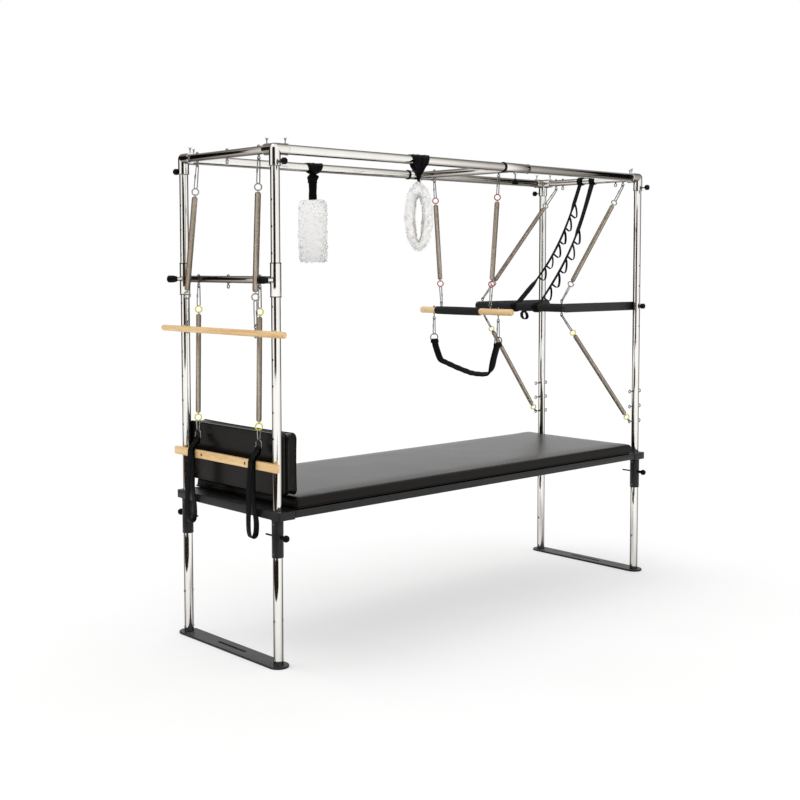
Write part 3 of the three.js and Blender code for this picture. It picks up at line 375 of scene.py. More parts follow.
def stacked(origin, rings, level, along, across):
    """Flat rings of (x, y) set in space: x along one direction, y across it, each at its level."""
    normal = np.cross(along, across)
    return (origin + rings[..., :1] * along + rings[..., 1:] * across
            + np.asarray(level)[:, None, None] * normal)


def slab(stuff, outline, origin, along, across, thick, edge):
    """A plate: an outline with its rims rounded by a quarter circle, closed over its middle."""
    out = outline_normals(outline)
    bend = np.linspace(0.0, math.pi / 2, 4)
    drop = edge * (1 - np.cos(bend))
    inset = edge * (1 - np.sin(bend))
    inset = np.concatenate([inset, inset[::-1]])
    rings = outline[None] - inset[:, None, None] * out
    middle = np.broadcast_to(outline.mean(0), outline.shape)
    near = rings[:1] * 0.985 + middle * 0.015
    far = rings[-1:] * 0.985 + middle * 0.015
    rings = np.concatenate([middle[None], near, rings, far, middle[None]])
    level = np.concatenate([[0.0, 0.0], drop, thick - drop[::-1], [thick, thick]])
    return skin(stuff, stacked(origin, rings, level, along, across))


def frame_plate(stuff, outer, inner, origin, along, across, thick, edge):
    """A plate with one opening, between an outer and an inner outline of as many points."""
    out, back = outline_normals(outer), outline_normals(inner)
    rings = np.stack([
        outer - edge * out, outer, outer, outer - edge * out,
        inner + edge * back, inner, inner, inner + edge * back,
    ])
    level = [0.0, edge, thick - edge, thick, thick, thick - edge, edge, 0.0]
    return skin(stuff, stacked(origin, rings, level, along, across), loop_rows=True)


def block(stuff, low, high, edge):
    """A board with eased edges between two corners."""
    size = high - low
    outline = rounded_outline(size[0], size[1], edge * 1.2, 4)
    origin = at((low[0] + high[0]) / 2, (low[1] + high[1]) / 2, low[2])
    return slab(stuff, outline, origin, X_AXIS, Y_AXIS, size[2], edge)


# Hardware shared by several pieces


def knob(start, direction, radius, length):
    """A hand knob: a skirt, a rim of eight flutes with eased edges and a shallow dish on top."""
    profile = [
        (0.0, 0.0), (0.0, radius * 0.5), (length * 0.16, radius * 0.55),
        (length * 0.24, radius * 0.9), (length * 0.32, radius * 0.98), (length * 0.84, radius),
        (length * 0.95, radius * 0.95), (length, radius * 0.82), (length * 0.965, radius * 0.6),
        (length * 0.96, 0.0),
    ]
    return turned(NYLON, start, direction, profile, 64, 8, 0.14)


def hex_nut(start, direction, reach, height):
    """A six-sided nut: a hexagon of flats with its corners taken off at both faces."""
    profile = [(0.0, 0.0), (0.0, reach * 0.9), (height * 0.15, reach), (height * 0.85, reach),
               (height, reach * 0.9), (height, 0.0)]
    return turned(ZINC, start, direction, profile, 6)


def round_head(start, direction, radius, height):
    """A screw head: a low dome with a small hexagon socket sunk in it."""
    bend = np.linspace(0.0, math.pi / 2, 5)
    dome = np.stack([height * np.sin(bend), radius * (0.35 + 0.65 * np.cos(bend))], -1)
    socket = [[height * 0.45, radius * 0.3], [height * 0.45, 0.0]]
    profile = np.concatenate([[[0.0, 0.0]], dome, socket])
    return turned(ZINC, start, direction, profile, 24)


def eyebolt(root, direction, normal, through=0.0, neck=EYE_NECK, sink=3.0):
    """An eyebolt: stem, wire eye, a collar against the bar and a nut on the bar's far side."""
    tip = root + (neck + EYE_WIRE / 2) * direction
    parts = [
        rod(ZINC, root - sink * direction, tip, 3.0, 0.4, 16),
        ring(ZINC, root + (neck + EYE_RADIUS) * direction, normal, EYE_RADIUS, EYE_WIRE,
             24),
        hex_nut(root - 0.8 * direction, direction, 6.0, 3.6),
    ]
    if through:
        parts.append(hex_nut(root - (through - 0.8) * direction, -direction, 6.5, 4.5))
        parts.append(rod(ZINC, root - through * direction,
                         root - (through + 7.0) * direction, 2.8, 0.8, 14))
    return parts


def pulled_eye(root, direction, target, normal):
    """Where a link hangs on an eye that is drawn towards a target in the eye's plane."""
    centre = root + (EYE_NECK + EYE_RADIUS) * direction
    pull = target - centre
    return centre + EYE_RADIUS * unit(pull - normal * np.dot(pull, normal))


def spring_coil(a, b, outer, thick):
    """A close-wound extension spring with domed ends and straight necks.

    point = a + distance * axis + radius * (cos turn, sin turn), where the turn grows by one for
    each pitch, and the radius swells from the neck as a quarter circle and shrinks as one."""
    along = unit(b - a)
    side, up = across_of(along)
    neck, pitch, steps = 11.0, 2 * thick * 1.04, 14
    body = np.linalg.norm(b - a) - 2 * neck
    reach = outer - thick
    turns = body / pitch
    travel = np.linspace(0.0, 1.0, int(turns * steps))
    place = neck + travel * body
    near = np.minimum(travel, 1 - travel) * body
    swell = np.sqrt(np.clip(1 - (1 - np.clip(near / (reach * 0.9), 0, 1)) ** 2, 0, 1))
    radius = reach * (0.16 + 0.84 * swell)
    angle = 2 * math.pi * turns * travel
    coil = a + place[:, None] * along + radius[:, None] * (
        np.cos(angle)[:, None] * side + np.sin(angle)[:, None] * up)
    lead = a + np.linspace(0.0, neck * 0.8, 4)[:, None] * along
    tail = b - np.linspace(neck * 0.8, 0.0, 4)[:, None] * along
    path = np.concatenate([lead, coil, tail])
    return wire("spring_steel", path, thick, along + 0.013 * side, sides=6)


def halfway(along):
    """The normal of a ring that hangs turned between the table's length and its width."""
    lean = X_AXIS + Y_AXIS
    return unit(lean - along * np.dot(lean, along))


def spring_line(a, b, radius, hooks, facing, low_facing=None, knee=None, rings=ZINC,
                held=False):
    """A hung spring: snap hook, coloured ring, coil, coloured ring and snap hook in one line."""
    low_facing = facing if low_facing is None else low_facing
    low_length = hooks[1] + 2 * RING_RADIUS
    bend = b - low_length * unit(b - a) if knee is None else knee
    along, below = unit(bend - a), unit(b - bend)
    thick = bpy.context.scene.trapeze_frame.spring_wire / 2 / MM
    top = a + hooks[0] * along
    start = top + 2 * RING_RADIUS * along
    end = bend + 2 * RING_RADIUS * below
    return [
        *snap_hook(a - HOOK * along, top, facing),
        ring(rings, top + RING_SHOWN * along, halfway(along), RING_SHOWN, 2.9),
        spring_coil(start, bend, radius, thick),
        ring(rings, end - RING_SHOWN * below, halfway(below), RING_SHOWN, 2.9),
        *snap_hook(b + (0.0 if held else HOOK) * below, end, low_facing),
    ]


# Finishes

MULTIPLIED = {"data_type": "RGBA", "blend_type": "MULTIPLY"}


def linear(hex_colour):
    """An sRGB hex colour as linear RGBA."""
    channels = [int(hex_colour[k : k + 2], 16) / 255 for k in (1, 3, 5)]
    return (*(c / 12.92 if c <= 0.04045 else ((c + 0.055) / 1.055) ** 2.4 for c in channels), 1.0)


def fill(tree, made, inputs):
    """Sets a node's inputs: a number or colour as its value, a socket or a node as a link."""
    for name, value in inputs.items():
        if isinstance(value, bpy.types.Node):
            value = next(socket for socket in value.outputs if socket.enabled)
        if isinstance(value, bpy.types.NodeSocket):
            tree.links.new(value, made.inputs[name])
        else:
            made.inputs[name].default_value = value


def node(tree, kind, settings=None, inputs=None):
    """Adds one shader node with its settings, its colour stops if it has them, and its inputs."""
    made = tree.nodes.new("ShaderNode" + kind)
    for name, value in (settings or {}).items():
        if name == "stops":
            band = made.color_ramp.elements
            while len(band) < len(value):
                band.new(0.5)
            for element, (place, colour) in zip(band, value):
                element.position = place
                element.color = linear(colour)
        else:
            setattr(made, name, value)
    fill(tree, made, inputs or {})
    return made


def blank(name, surface):
    """A new material with constants on its Principled shader, with its tree, shader and a place."""
    material = bpy.data.materials.new(name)
    material.use_nodes = True
    tree = material.node_tree
    shader = tree.nodes["Principled BSDF"]
    fill(tree, shader, surface)
    return material, tree, shader, node(tree, "TexCoord").outputs["Object"]


def polished_chrome():
    """Steel tube, polished and chrome plated: a mirror with a warm cast, painted darker towards its
    edges as a painted reflection of dark surroundings, with soft smears from cloths and faint draw
    lines."""
    material, tree, shader, place = blank(CHROME, {"Metallic": 1.0})
    look = bpy.context.scene.trapeze_frame
    # Painted reflection: the base colour runs from the chrome colour where the tube faces the eye
    # to near black at its edges, standing in for dark surroundings that it mirrors
    edge = node(tree, "LayerWeight", None, {"Blend": 0.5}).outputs["Facing"]
    tone = node(tree, "ValToRGB", {"stops": [
        (0.0, look.chrome_hex), (0.24, "#efede8"), (0.42, "#9a948b"), (0.62, "#2a2623")
    ]}, {"Fac": edge})
    cloud = node(tree, "TexNoise", None, {
        "Vector": place, "Scale": 9.0, "Detail": 3.0, "Roughness": 0.6})
    smear = node(tree, "ValToRGB", {"stops": [(0.3, "#c9c3bb"), (0.7, "#ffffff")]}, {"Fac": cloud})
    wear = node(tree, "MapRange", None, {
        "Value": cloud, "From Min": 0.3, "From Max": 0.7, "To Min": 0.05, "To Max": 0.12})
    fine = node(tree, "TexNoise", None, {"Vector": place, "Scale": 240.0, "Detail": 2.0})
    fill(tree, shader, {
        "Base Color": node(tree, "Mix", MULTIPLIED, {"Factor": 0.14, "A": tone, "B": smear}),
        "Roughness": wear,
        "Normal": node(tree, "Bump", None, {
            "Height": fine, "Strength": 0.14, "Distance": 0.02 * MM})})
    return material


def spring_steel():
    """Drawn spring wire, oil tempered: warm grey with a soft shine, a painted highlight where it
    faces the eye and painted shade where it turns away, with darker smears."""
    material, tree, shader, place = blank("spring_steel", {"Metallic": 0.9})
    # Painted highlight and painted shade: the base colour runs from pale where the wire faces the
    # eye to near black where it turns away
    edge = node(tree, "LayerWeight", None, {"Blend": 0.5}).outputs["Facing"]
    tone = node(tree, "ValToRGB", {"stops": [
        (0.0, "#f2e6d4"), (0.22, "#b5a38f"), (0.5, "#2e261f")]}, {"Fac": edge})
    smear = node(tree, "TexNoise", None, {"Vector": place, "Scale": 55.0, "Detail": 4.0})
    dull = node(tree, "ValToRGB", {"stops": [(0.25, "#a89a8c"), (0.7, "#ffffff")]}, {"Fac": smear})
    fill(tree, shader, {
        "Base Color": node(tree, "Mix", MULTIPLIED, {"Factor": 0.5, "A": tone, "B": dull}),
        "Roughness": node(tree, "MapRange", None, {
            "Value": smear, "To Min": 0.22, "To Max": 0.42})})
    return material


def zinc_plate():
    """Bright zinc on small hardware: silvery, slightly uneven, with painted shade where it turns
    away from the eye.
    """
    material, tree, shader, place = blank(ZINC, {"Metallic": 1.0, "Roughness": 0.2})
    # Painted shade: the base colour runs from silvery where the metal faces the eye to near black
    # at its edges
    edge = node(tree, "LayerWeight", None, {"Blend": 0.45}).outputs["Facing"]
    tone = node(tree, "ValToRGB", {"stops": [
        (0.0, "#bdbab5"), (0.26, "#7b7772"), (0.56, "#1d1b19")]}, {"Fac": edge})
    cloud = node(tree, "TexNoise", None, {"Vector": place, "Scale": 130.0, "Detail": 3.0})
    dull = node(tree, "ValToRGB", {"stops": [(0.3, "#8d8983"), (0.7, "#ffffff")]}, {"Fac": cloud})
    fill(tree, shader, {
        "Base Color": node(tree, "Mix", MULTIPLIED, {"Factor": 0.35, "A": tone, "B": dull}),
        "Normal": node(tree, "Bump", None, {
            "Height": cloud, "Strength": 0.5, "Distance": 0.03 * MM})})
    return material


def dipped_ring(name, main, deep):
    """Plastic-dipped steel ring: a bright even colour, a little deeper where the dip ran thick,
    under a soft wet shine."""
    material, tree, shader, place = blank(name, {
        "Roughness": 0.3, "Coat Weight": 0.4, "Coat Roughness": 0.15})
    pool = node(tree, "TexNoise", None, {"Vector": place, "Scale": 160.0, "Detail": 2.0})
    fill(tree, shader, {
        "Base Color": node(tree, "ValToRGB", {"stops": [(0.35, deep), (0.6, main)]}, {"Fac": pool}),
        "Normal": node(tree, "Bump", None, {
            "Height": pool, "Strength": 0.5, "Distance": 0.06 * MM})})
    return material


def powder_coat():
    """Powder-coated steel in satin black: a fine orange-peel skin, 1.5 mm across, with dust."""
    material, tree, shader, place = blank(PAINT, {"Specular IOR Level": 0.3})
    look = bpy.context.scene.trapeze_frame
    peel = node(tree, "TexNoise", None, {"Vector": place, "Scale": 640.0, "Detail": 2.0})
    dust = node(tree, "TexNoise", None, {"Vector": place, "Scale": 14.0, "Detail": 5.0})
    fill(tree, shader, {
        "Base Color": node(tree, "ValToRGB", {"stops": [
            (0.3, look.paint_hex), (0.72, "#222223")]}, {"Fac": dust}),
        "Roughness": node(tree, "MapRange", None, {"Value": dust, "To Min": 0.34, "To Max": 0.5}),
        "Normal": node(tree, "Bump", None, {
            "Height": peel, "Strength": 0.5, "Distance": 0.12 * MM})})
    return material


def moulded_nylon():
    """Glass-filled nylon, moulded black: matt with a faint sparkle grain and soft wear."""
    material, tree, shader, place = blank(NYLON, {
        "Roughness": 0.25, "IOR": 1.53, "Specular IOR Level": 0.08})
    grain = node(tree, "TexNoise", None, {"Vector": place, "Scale": 900.0, "Detail": 2.0})
    wear = node(tree, "TexNoise", None, {"Vector": place, "Scale": 60.0, "Detail": 3.0})
    fill(tree, shader, {
        "Base Color": node(tree, "ValToRGB", {"stops": [
            (0.3, "#040405"), (0.75, "#0e0f10")]}, {"Fac": wear}),
        "Normal": node(tree, "Bump", None, {
            "Height": grain, "Strength": 0.45, "Distance": 0.08 * MM})})
    return material


def upholstery_vinyl():
    """Coated fabric over foam: black with a pebbled leather print, 1.6 mm across, that catches a
    warm grey shine at a low angle, and faint clouds where it is stretched."""
    material, tree, shader, place = blank(VINYL, {
        "Specular IOR Level": 0.17, "Specular Tint": linear("#fff1df")})
    look = bpy.context.scene.trapeze_soft
    pebble = node(tree, "TexVoronoi", {"feature": "SMOOTH_F1"}, {
        "Vector": place, "Scale": 620.0, "Smoothness": 0.35})
    cloud = node(tree, "TexNoise", None, {"Vector": place, "Scale": 5.0, "Detail": 4.0})
    tone = node(tree, "ValToRGB", {"stops": [
        (0.3, look.vinyl_hex), (0.7, "#111112")]}, {"Fac": cloud})
    cell = node(tree, "ValToRGB", {"stops": [(0.05, "#ffffff"), (0.6, "#8a8a8a")]}, {"Fac": pebble})
    fill(tree, shader, {
        "Base Color": node(tree, "Mix", MULTIPLIED, {"Factor": 0.35, "A": tone, "B": cell}),
        "Roughness": node(tree, "MapRange", None, {"Value": cloud, "To Min": 0.25, "To Max": 0.31}),
        "Normal": node(tree, "Bump", None, {
            "Height": pebble, "Strength": 0.25, "Distance": 0.18 * MM})})
    return material


def maple_wood():
    """Turned or planed maple, oiled: pale honey with long fine grain lines along the piece,
    2 mm apart, broader bands and small darker pores."""
    material, tree, shader, place = blank("maple_wood", {
        "Roughness": 0.42, "IOR": 1.5, "Coat Weight": 0.12, "Coat Roughness": 0.3})
    look = bpy.context.scene.trapeze_frame
    stretched = node(tree, "Mapping", None, {"Vector": place, "Scale": (1.0, 0.05, 1.0)})
    broad = node(tree, "TexNoise", None, {
        "Vector": stretched, "Scale": 48.0, "Detail": 4.0, "Distortion": 0.6})
    fine = node(tree, "TexNoise", None, {
        "Vector": stretched, "Scale": 420.0, "Detail": 3.0, "Roughness": 0.6})
    tone = node(tree, "ValToRGB", {"stops": [
        (0.28, "#d8a96c"), (0.5, look.maple_hex), (0.75, "#f6dba8")]}, {"Fac": broad})
    pores = node(tree, "ValToRGB", {"stops": [(0.3, "#a87c52"), (0.62, "#ffffff")]}, {"Fac": fine})
    fill(tree, shader, {
        "Base Color": node(tree, "Mix", MULTIPLIED, {"Factor": 0.36, "A": tone, "B": pores}),
        "Normal": node(tree, "Bump", None, {
            "Height": fine, "Strength": 0.4, "Distance": 0.08 * MM})})
    return material


def stained_plywood():
    """Birch plywood, stained black and sealed: near black with soft flame figure and ply lines."""
    material, tree, shader, place = blank("stained_plywood", {"Roughness": 0.6, "IOR": 1.5})
    squeezed = node(tree, "Mapping", None, {"Vector": place, "Scale": (0.15, 1.0, 1.0)})
    figure = node(tree, "TexNoise", None, {
        "Vector": squeezed, "Scale": 18.0, "Detail": 5.0, "Distortion": 1.2})
    plies = node(tree, "TexWave", {"bands_direction": "Z"}, {
        "Vector": place, "Scale": 52.0, "Distortion": 0.5})
    tone = node(tree, "ValToRGB", {"stops": [(0.3, "#141211"), (0.7, "#2a2624")]}, {"Fac": figure})
    layers = node(tree, "ValToRGB", {"stops": [(0.2, "#6c6460"), (0.5, "#ffffff")]}, {"Fac": plies})
    fill(tree, shader, {
        "Base Color": node(tree, "Mix", MULTIPLIED, {"Factor": 0.25, "A": tone, "B": layers}),
        "Normal": node(tree, "Bump", None, {
            "Height": figure, "Strength": 0.3, "Distance": 0.1 * MM})})
    return material


def woven_webbing():
    """Woven polyester webbing in black: ribs across the band and warp cords along it, dull, with
    greyer threads on the tops of the ribs."""
    material, tree, shader, _ = blank("woven_webbing", {
        "Roughness": 0.5, "Specular IOR Level": 0.07})
    look = bpy.context.scene.trapeze_soft
    lay = node(tree, "UVMap", {"uv_map": "lay"})
    # A wave texture of scale 1 repeats every 2 pi / 20 of its coordinate
    pitch = 2 * math.pi / 20.0 / look.rib_pitch
    ribs = node(tree, "TexWave", {"bands_direction": "X"}, {"Vector": lay, "Scale": pitch})
    cords = node(tree, "TexWave", {"bands_direction": "Y"}, {"Vector": lay, "Scale": pitch * 0.8})
    weave = node(tree, "Math", {"operation": "MULTIPLY"}, {0: ribs, 1: cords})
    fill(tree, shader, {
        "Base Color": node(tree, "ValToRGB", {"stops": [
            (0.05, "#030303"), (0.6, look.webbing_hex), (1.0, "#151516")]}, {"Fac": weave}),
        "Normal": node(tree, "Bump", None, {
            "Height": weave, "Strength": 0.7, "Distance": 0.35 * MM})})
    return material


def sheepskin():
    """Sheepskin pile: bright white matted locks with light passing through their tips and faint
    cream shadows between them."""
    material, tree, shader, place = blank("sheepskin", {
        "Roughness": 1.0, "Specular IOR Level": 0.1, "Sheen Weight": 0.2, "Sheen Roughness": 0.4,
        "Subsurface Weight": 0.25, "Subsurface Radius": (1.0, 0.95, 0.9),
        "Subsurface Scale": 0.012})
    locks = node(tree, "TexNoise", None, {
        "Vector": place, "Scale": 95.0, "Detail": 6.0, "Roughness": 0.65, "Distortion": 1.4})
    fill(tree, shader, {
        "Base Color": node(tree, "ValToRGB", {"stops": [
            (0.22, "#f3f0ea"), (0.4, "#fcfbf9"), (0.7, "#ffffff")]}, {"Fac": locks}),
        "Normal": node(tree, "Bump", None, {
            "Height": locks, "Strength": 0.25, "Distance": 1.2 * MM})})
    return material


def glove_leather():
    """Suede side of the skin round the cuff's opening: soft tan, flat, lightly scuffed."""
    material, tree, shader, place = blank("glove_leather", {"Roughness": 0.9, "Sheen Weight": 0.2})
    nap = node(tree, "TexNoise", None, {"Vector": place, "Scale": 210.0, "Detail": 5.0})
    fill(tree, shader, {
        "Base Color": node(tree, "ValToRGB", {"stops": [
            (0.3, "#b98f68"), (0.7, "#d9bb98")]}, {"Fac": nap}),
        "Normal": node(tree, "Bump", None, {"Height": nap, "Strength": 0.5, "Distance": 0.3 * MM})})
    return material


def foam_rubber():
    """Closed-cell foam rubber sleeve: nearly black, matt, pitted with cells 1 mm across."""
    material, tree, shader, place = blank("foam_rubber", {
        "Roughness": 0.85, "Specular IOR Level": 0.3})
    cells = node(tree, "TexVoronoi", None, {"Vector": place, "Scale": 950.0})
    fill(tree, shader, {
        "Base Color": node(tree, "ValToRGB", {"stops": [
            (0.1, "#0d0d0e"), (0.6, "#1f1f20")]}, {"Fac": cells}),
        "Normal": node(tree, "Bump", None, {
            "Height": cells, "Strength": 0.5, "Distance": 0.3 * MM})})
    return material


def shadow_black():
    """Painted shade for the dark inside of a drilled hole or slot: nearly black, a little uneven.
    """
    material, tree, shader, place = blank("shadow_black", {"Roughness": 0.9})
    # Painted shade, nearly black with a little random unevenness
    uneven_shade = node(tree, "TexNoise", None, {"Vector": place, "Scale": 300.0})
    fill(tree, shader, {"Base Color": node(tree, "ValToRGB", {"stops": [
        (0.3, "#060606"), (0.7, "#121212")]}, {"Fac": uneven_shade})})
    return material


def studio_floor():
    """A painted studio floor: even white with faint mopped clouds, lifted towards the white of the
    background where the camera sees it, so that only a pale shadow stays."""
    material, tree, shader, place = blank("studio_floor", {
        "Roughness": 0.9, "Specular IOR Level": 0.1})
    look = bpy.context.scene.trapeze_stage
    cloud = node(tree, "TexNoise", None, {"Vector": place, "Scale": 0.8, "Detail": 3.0})
    fill(tree, shader, {"Base Color": node(tree, "ValToRGB", {"stops": [
        (0.3, "#fbfbfa"), (0.7, look.floor_hex)]}, {"Fac": cloud})})
    glow = node(tree, "Emission", None, {"Color": linear("#ffffff"), "Strength": 1.0})
    seen = node(tree, "Math", {"operation": "MULTIPLY"}, {
        0: node(tree, "LightPath").outputs["Is Camera Ray"], 1: look.floor_lift})
    fill(tree, tree.nodes["Material Output"], {
        "Surface": node(tree, "MixShader", None, {0: seen, 1: shader, 2: glow})})
    return material


def flag_cloth():
    """Black wool cloth on the studio's flags: it gives the chrome something dark to mirror."""
    material, tree, shader, place = blank("flag_cloth", {
        "Roughness": 1.0, "Specular IOR Level": 0.0})
    nap = node(tree, "TexNoise", None, {"Vector": place, "Scale": 40.0})
    fill(tree, shader, {"Base Color": node(tree, "ValToRGB", {"stops": [
        (0.3, "#1a150f"), (0.7, "#332a20")]}, {"Fac": nap})})
    return material


FINISHES = {
    CHROME: polished_chrome,
    "spring_steel": spring_steel,
    ZINC: zinc_plate,
    "yellow_dip": lambda: dipped_ring("yellow_dip", "#ece92f", "#c6bb1e"),
    "red_dip": lambda: dipped_ring("red_dip", "#c9222f", "#8d1420"),
    PAINT: powder_coat,
    NYLON: moulded_nylon,
    VINYL: upholstery_vinyl,
    "maple_wood": maple_wood,
    "stained_plywood": stained_plywood,
    "woven_webbing": woven_webbing,
    "sheepskin": sheepskin,
    "glove_leather": glove_leather,
    "foam_rubber": foam_rubber,
    "shadow_black": shadow_black,
    "studio_floor": studio_floor,
    "flag_cloth": flag_cloth,
}


def finish(name):
    """The material of that name, made the first time it is asked for."""
    return bpy.data.materials.get(name) or FINISHES[name]()


# Pieces


def joined(skins, key):
    """One array of what several surfaces hold under a key."""
    return np.concatenate([part[key] for part in skins])


def mesh_of(name, skins):
    """One mesh from several surfaces: joined, doubles merged at poles, faces turned outwards."""
    starts = np.cumsum([0] + [len(part["points"]) for part in skins[:-1]])
    faces = np.concatenate([part["faces"] + start for part, start in zip(skins, starts)])
    stuffs = list(dict.fromkeys(part["stuff"] for part in skins))
    slots = np.repeat([stuffs.index(part["stuff"]) for part in skins],
                      [len(part["faces"]) for part in skins])
    mesh = bpy.data.meshes.new(name)
    place = joined(skins, "points") * MM + np.array([SHIFT * MM, 0.0, 0.0])
    mesh.from_pydata(place.tolist(), [], faces.tolist())
    for stuff in stuffs:
        mesh.materials.append(finish(stuff))
    mesh.polygons.foreach_set("material_index", slots.astype(np.int32))
    lay = mesh.uv_layers.new(name="lay")
    lay.data.foreach_set("uv", joined(skins, "uv").astype(np.float32).ravel())
    work = bmesh.new()
    work.from_mesh(mesh)
    bmesh.ops.remove_doubles(work, verts=work.verts, dist=1e-6)
    bmesh.ops.dissolve_degenerate(work, edges=work.edges, dist=1e-7)
    bmesh.ops.recalc_face_normals(work, faces=work.faces)
    work.to_mesh(mesh)
    work.free()
    mesh.update()
    return mesh


def linked(name, data):
    """A new object of a mesh, a lamp or a camera, in the scene."""
    made = bpy.data.objects.new(name, data)
    bpy.context.scene.collection.objects.link(made)
    return made


def piece(name, skins, stands_for, body=None, angle=38.0):
    """An object of the given surfaces that rides on a body and stands for a CAD node."""
    mesh = mesh_of(name, skins)
    made = linked(name, mesh)
    smooth_all(made)
    mesh.set_sharp_from_angle(angle=math.radians(angle))
    settle(made, stands_for, body)
    return made


def settle(made, stands_for, body=None):
    """Tells the frame what an object rides on and which CAD node it replaces."""
    if body is None:
        body = BODY_OF[stands_for]
    if body != "blend":
        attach(made, body)
    if stands_for:
        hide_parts(stands_for)


def coat(name, stuff):
    """Gives a CAD node whose shape is right its real finish."""
    mesh = frame["nodes"][name].data
    mesh.materials.clear()
    mesh.materials.append(finish(stuff))


# Canopy


def post_parts(side, front):
    """A post: a thin-walled tube with its row of peg holes shown as dark discs of painted shade,
    and eyebolts on the right ones.
    """
    x, y = side * HALF_LENGTH, front * HALF_WIDTH
    low, high = 639.3, RAIL_HEIGHT - 28.3
    parts = [hollow(CHROME, at(x, y, low), at(x, y, high), POST_RADIUS, 17.5, sides=48)]
    if side < 0:
        out, base, steps = -X_AXIS, CROSSBAR_HEIGHT, np.arange(-6, 4)
    else:
        out, base, steps = front * Y_AXIS, PUSH_HEIGHT, np.array([-1, 1, 2])
    # Painted shade: each peg hole is a flat dark disc on the tube's face, not an opening
    hole = [(0, 0), (0, 5.2), (1.2, 5.2), (0.7, 0)]
    for height in base + PEG_PITCH * steps:
        parts.append(turned("shadow_black", at(x, y, height) + 19.1 * out, out, hole, 16))
    if side > 0:
        for height in POST_EYES:
            parts += eyebolt(at(x - POST_RADIUS, y, height), -X_AXIS, Y_AXIS, neck=24.0)
            parts += eyebolt(at(x + POST_RADIUS, y, height), X_AXIS, Y_AXIS, neck=9.0)
    return parts


def socket_arm(corner, direction, length, bore):
    """One arm of a corner fitting: a plain barrel with a raised lip and a shadowed mouth."""
    reach = FITTING_RADIUS
    profile = [
        (0.0, 0.0), (0.0, reach), (length - 5.5, reach), (length - 5.0, reach + 0.7),
        (length - 0.9, reach + 0.7), (length, reach - 0.3), (length, bore + 0.4),
        (length - 3.0, bore + 0.2), (length - 3.0, 0.0),
    ]
    mouth = turned("shadow_black", corner + (length - 1.4) * direction, direction,
                   [(0.0, 0.0), (0.0, bore + 0.8), (0.9, bore + 0.8), (0.9, 0.0)], 32)
    return [turned(CHROME, corner, direction, profile, 40), mouth]


def thumb_screw(foot, across):
    """A wing screw: a threaded shank, a small boss and two wings that lift as a shallow curve."""
    shank = rod(ZINC, foot, foot + 22.0 * Z_AXIS, 2.4, 0.4, 12)
    boss = turned(ZINC, foot + 13.0 * Z_AXIS, Z_AXIS,
                  [(0, 0), (0, 3.6), (4.0, 4.0), (9.0, 2.6), (9.6, 0)], 14)
    share = np.linspace(-1.0, 1.0, 15)
    path = foot + at(
        share * 8.5 * across[0], share * 8.5 * across[1], 19.5 + 4.5 * np.abs(share) ** 1.5)
    thick = 1.9 - 0.5 * np.abs(share) ** 4
    return [shank, boss, wire(ZINC, path, thick, np.cross(across, Z_AXIS))]


def across_bar(x, z, short, radius, sides):
    """A chromed tube across the table, short of the post axes by a length at both ends."""
    reach = (HALF_WIDTH - short) * Y_AXIS
    return rod(CHROME, at(x, 0, z) - reach, at(x, 0, z) + reach, radius, 1.0, sides)


def top_frame_parts(side, eye_places):
    """An end bar between two three-way corner fittings, with its eyebolts and wing screws."""
    x = side * HALF_LENGTH
    parts = [across_bar(x, RAIL_HEIGHT, 0.0, END_BAR_RADIUS, 44)]
    for front in BOTH:
        corner = at(x, front * HALF_WIDTH, RAIL_HEIGHT)
        parts.append(turned(CHROME, corner - FITTING_RADIUS * Z_AXIS, Z_AXIS,
                            ball(FITTING_RADIUS), 40))
        parts += socket_arm(corner, -side * X_AXIS, 64.0, RAIL_RADIUS)
        parts += socket_arm(corner, -front * Y_AXIS, 62.0, END_BAR_RADIUS)
        parts += socket_arm(corner, -Z_AXIS, 70.0, POST_RADIUS)
        top = (FITTING_RADIUS - 1.0) * Z_AXIS
        parts += thumb_screw(corner - side * SCREW_REACH * X_AXIS + top, Y_AXIS)
        parts += thumb_screw(corner - front * SCREW_REACH * Y_AXIS + top, X_AXIS)
        parts.append(hex_nut(corner - SCREW_REACH * Z_AXIS + front * 23.6 * Y_AXIS, front * Y_AXIS,
                             7.5, 3.5))
    for y in eye_places:
        parts += eyebolt(at(x, y, RAIL_HEIGHT - END_BAR_RADIUS), -Z_AXIS, X_AXIS,
                         through=2 * END_BAR_RADIUS)
    return parts


def clamp_knob(base, direction, tip, reach, radius, length, screw=3.6):
    """A fluted knob on its screw."""
    return [
        rod(ZINC, base + tip * direction, base + (reach + 3.0) * direction, screw, 0.5, 16),
        knob(base + reach * direction, direction, radius, length),
    ]


def crossbar_parts():
    """The sliding crossbar: a tube between two collars with black bushings and plunger bosses."""
    x, z = -HALF_LENGTH, CROSSBAR_HEIGHT
    boss = [(0, 0), (0, 10.5), (4, 9.6), (6, 9.0), (26.0, 9.0), (27.0, 8.2), (27.0, 0)]
    parts = [across_bar(x, z, 15.0, CROSSBAR_RADIUS, 40)]
    for front in BOTH:
        y = front * HALF_WIDTH
        parts.append(hollow(CHROME, at(x, y, z - 70), at(x, y, z + 70), 23.5, 20.4))
        for end in (at(x, y, z - 71.5), at(x, y, z + 68.0)):
            parts.append(hollow(NYLON, end, end + 3.5 * Z_AXIS, 24.8, 20.3, 0.6))
        parts.append(turned(CHROME, at(x - POST_RADIUS, y, z), -X_AXIS, boss, 28))
    for y in (-SPRING_Y, 0.0, SPRING_Y):
        parts += eyebolt(at(x, y, z - CROSSBAR_RADIUS), -Z_AXIS, X_AXIS,
                         through=2 * CROSSBAR_RADIUS)
    return parts


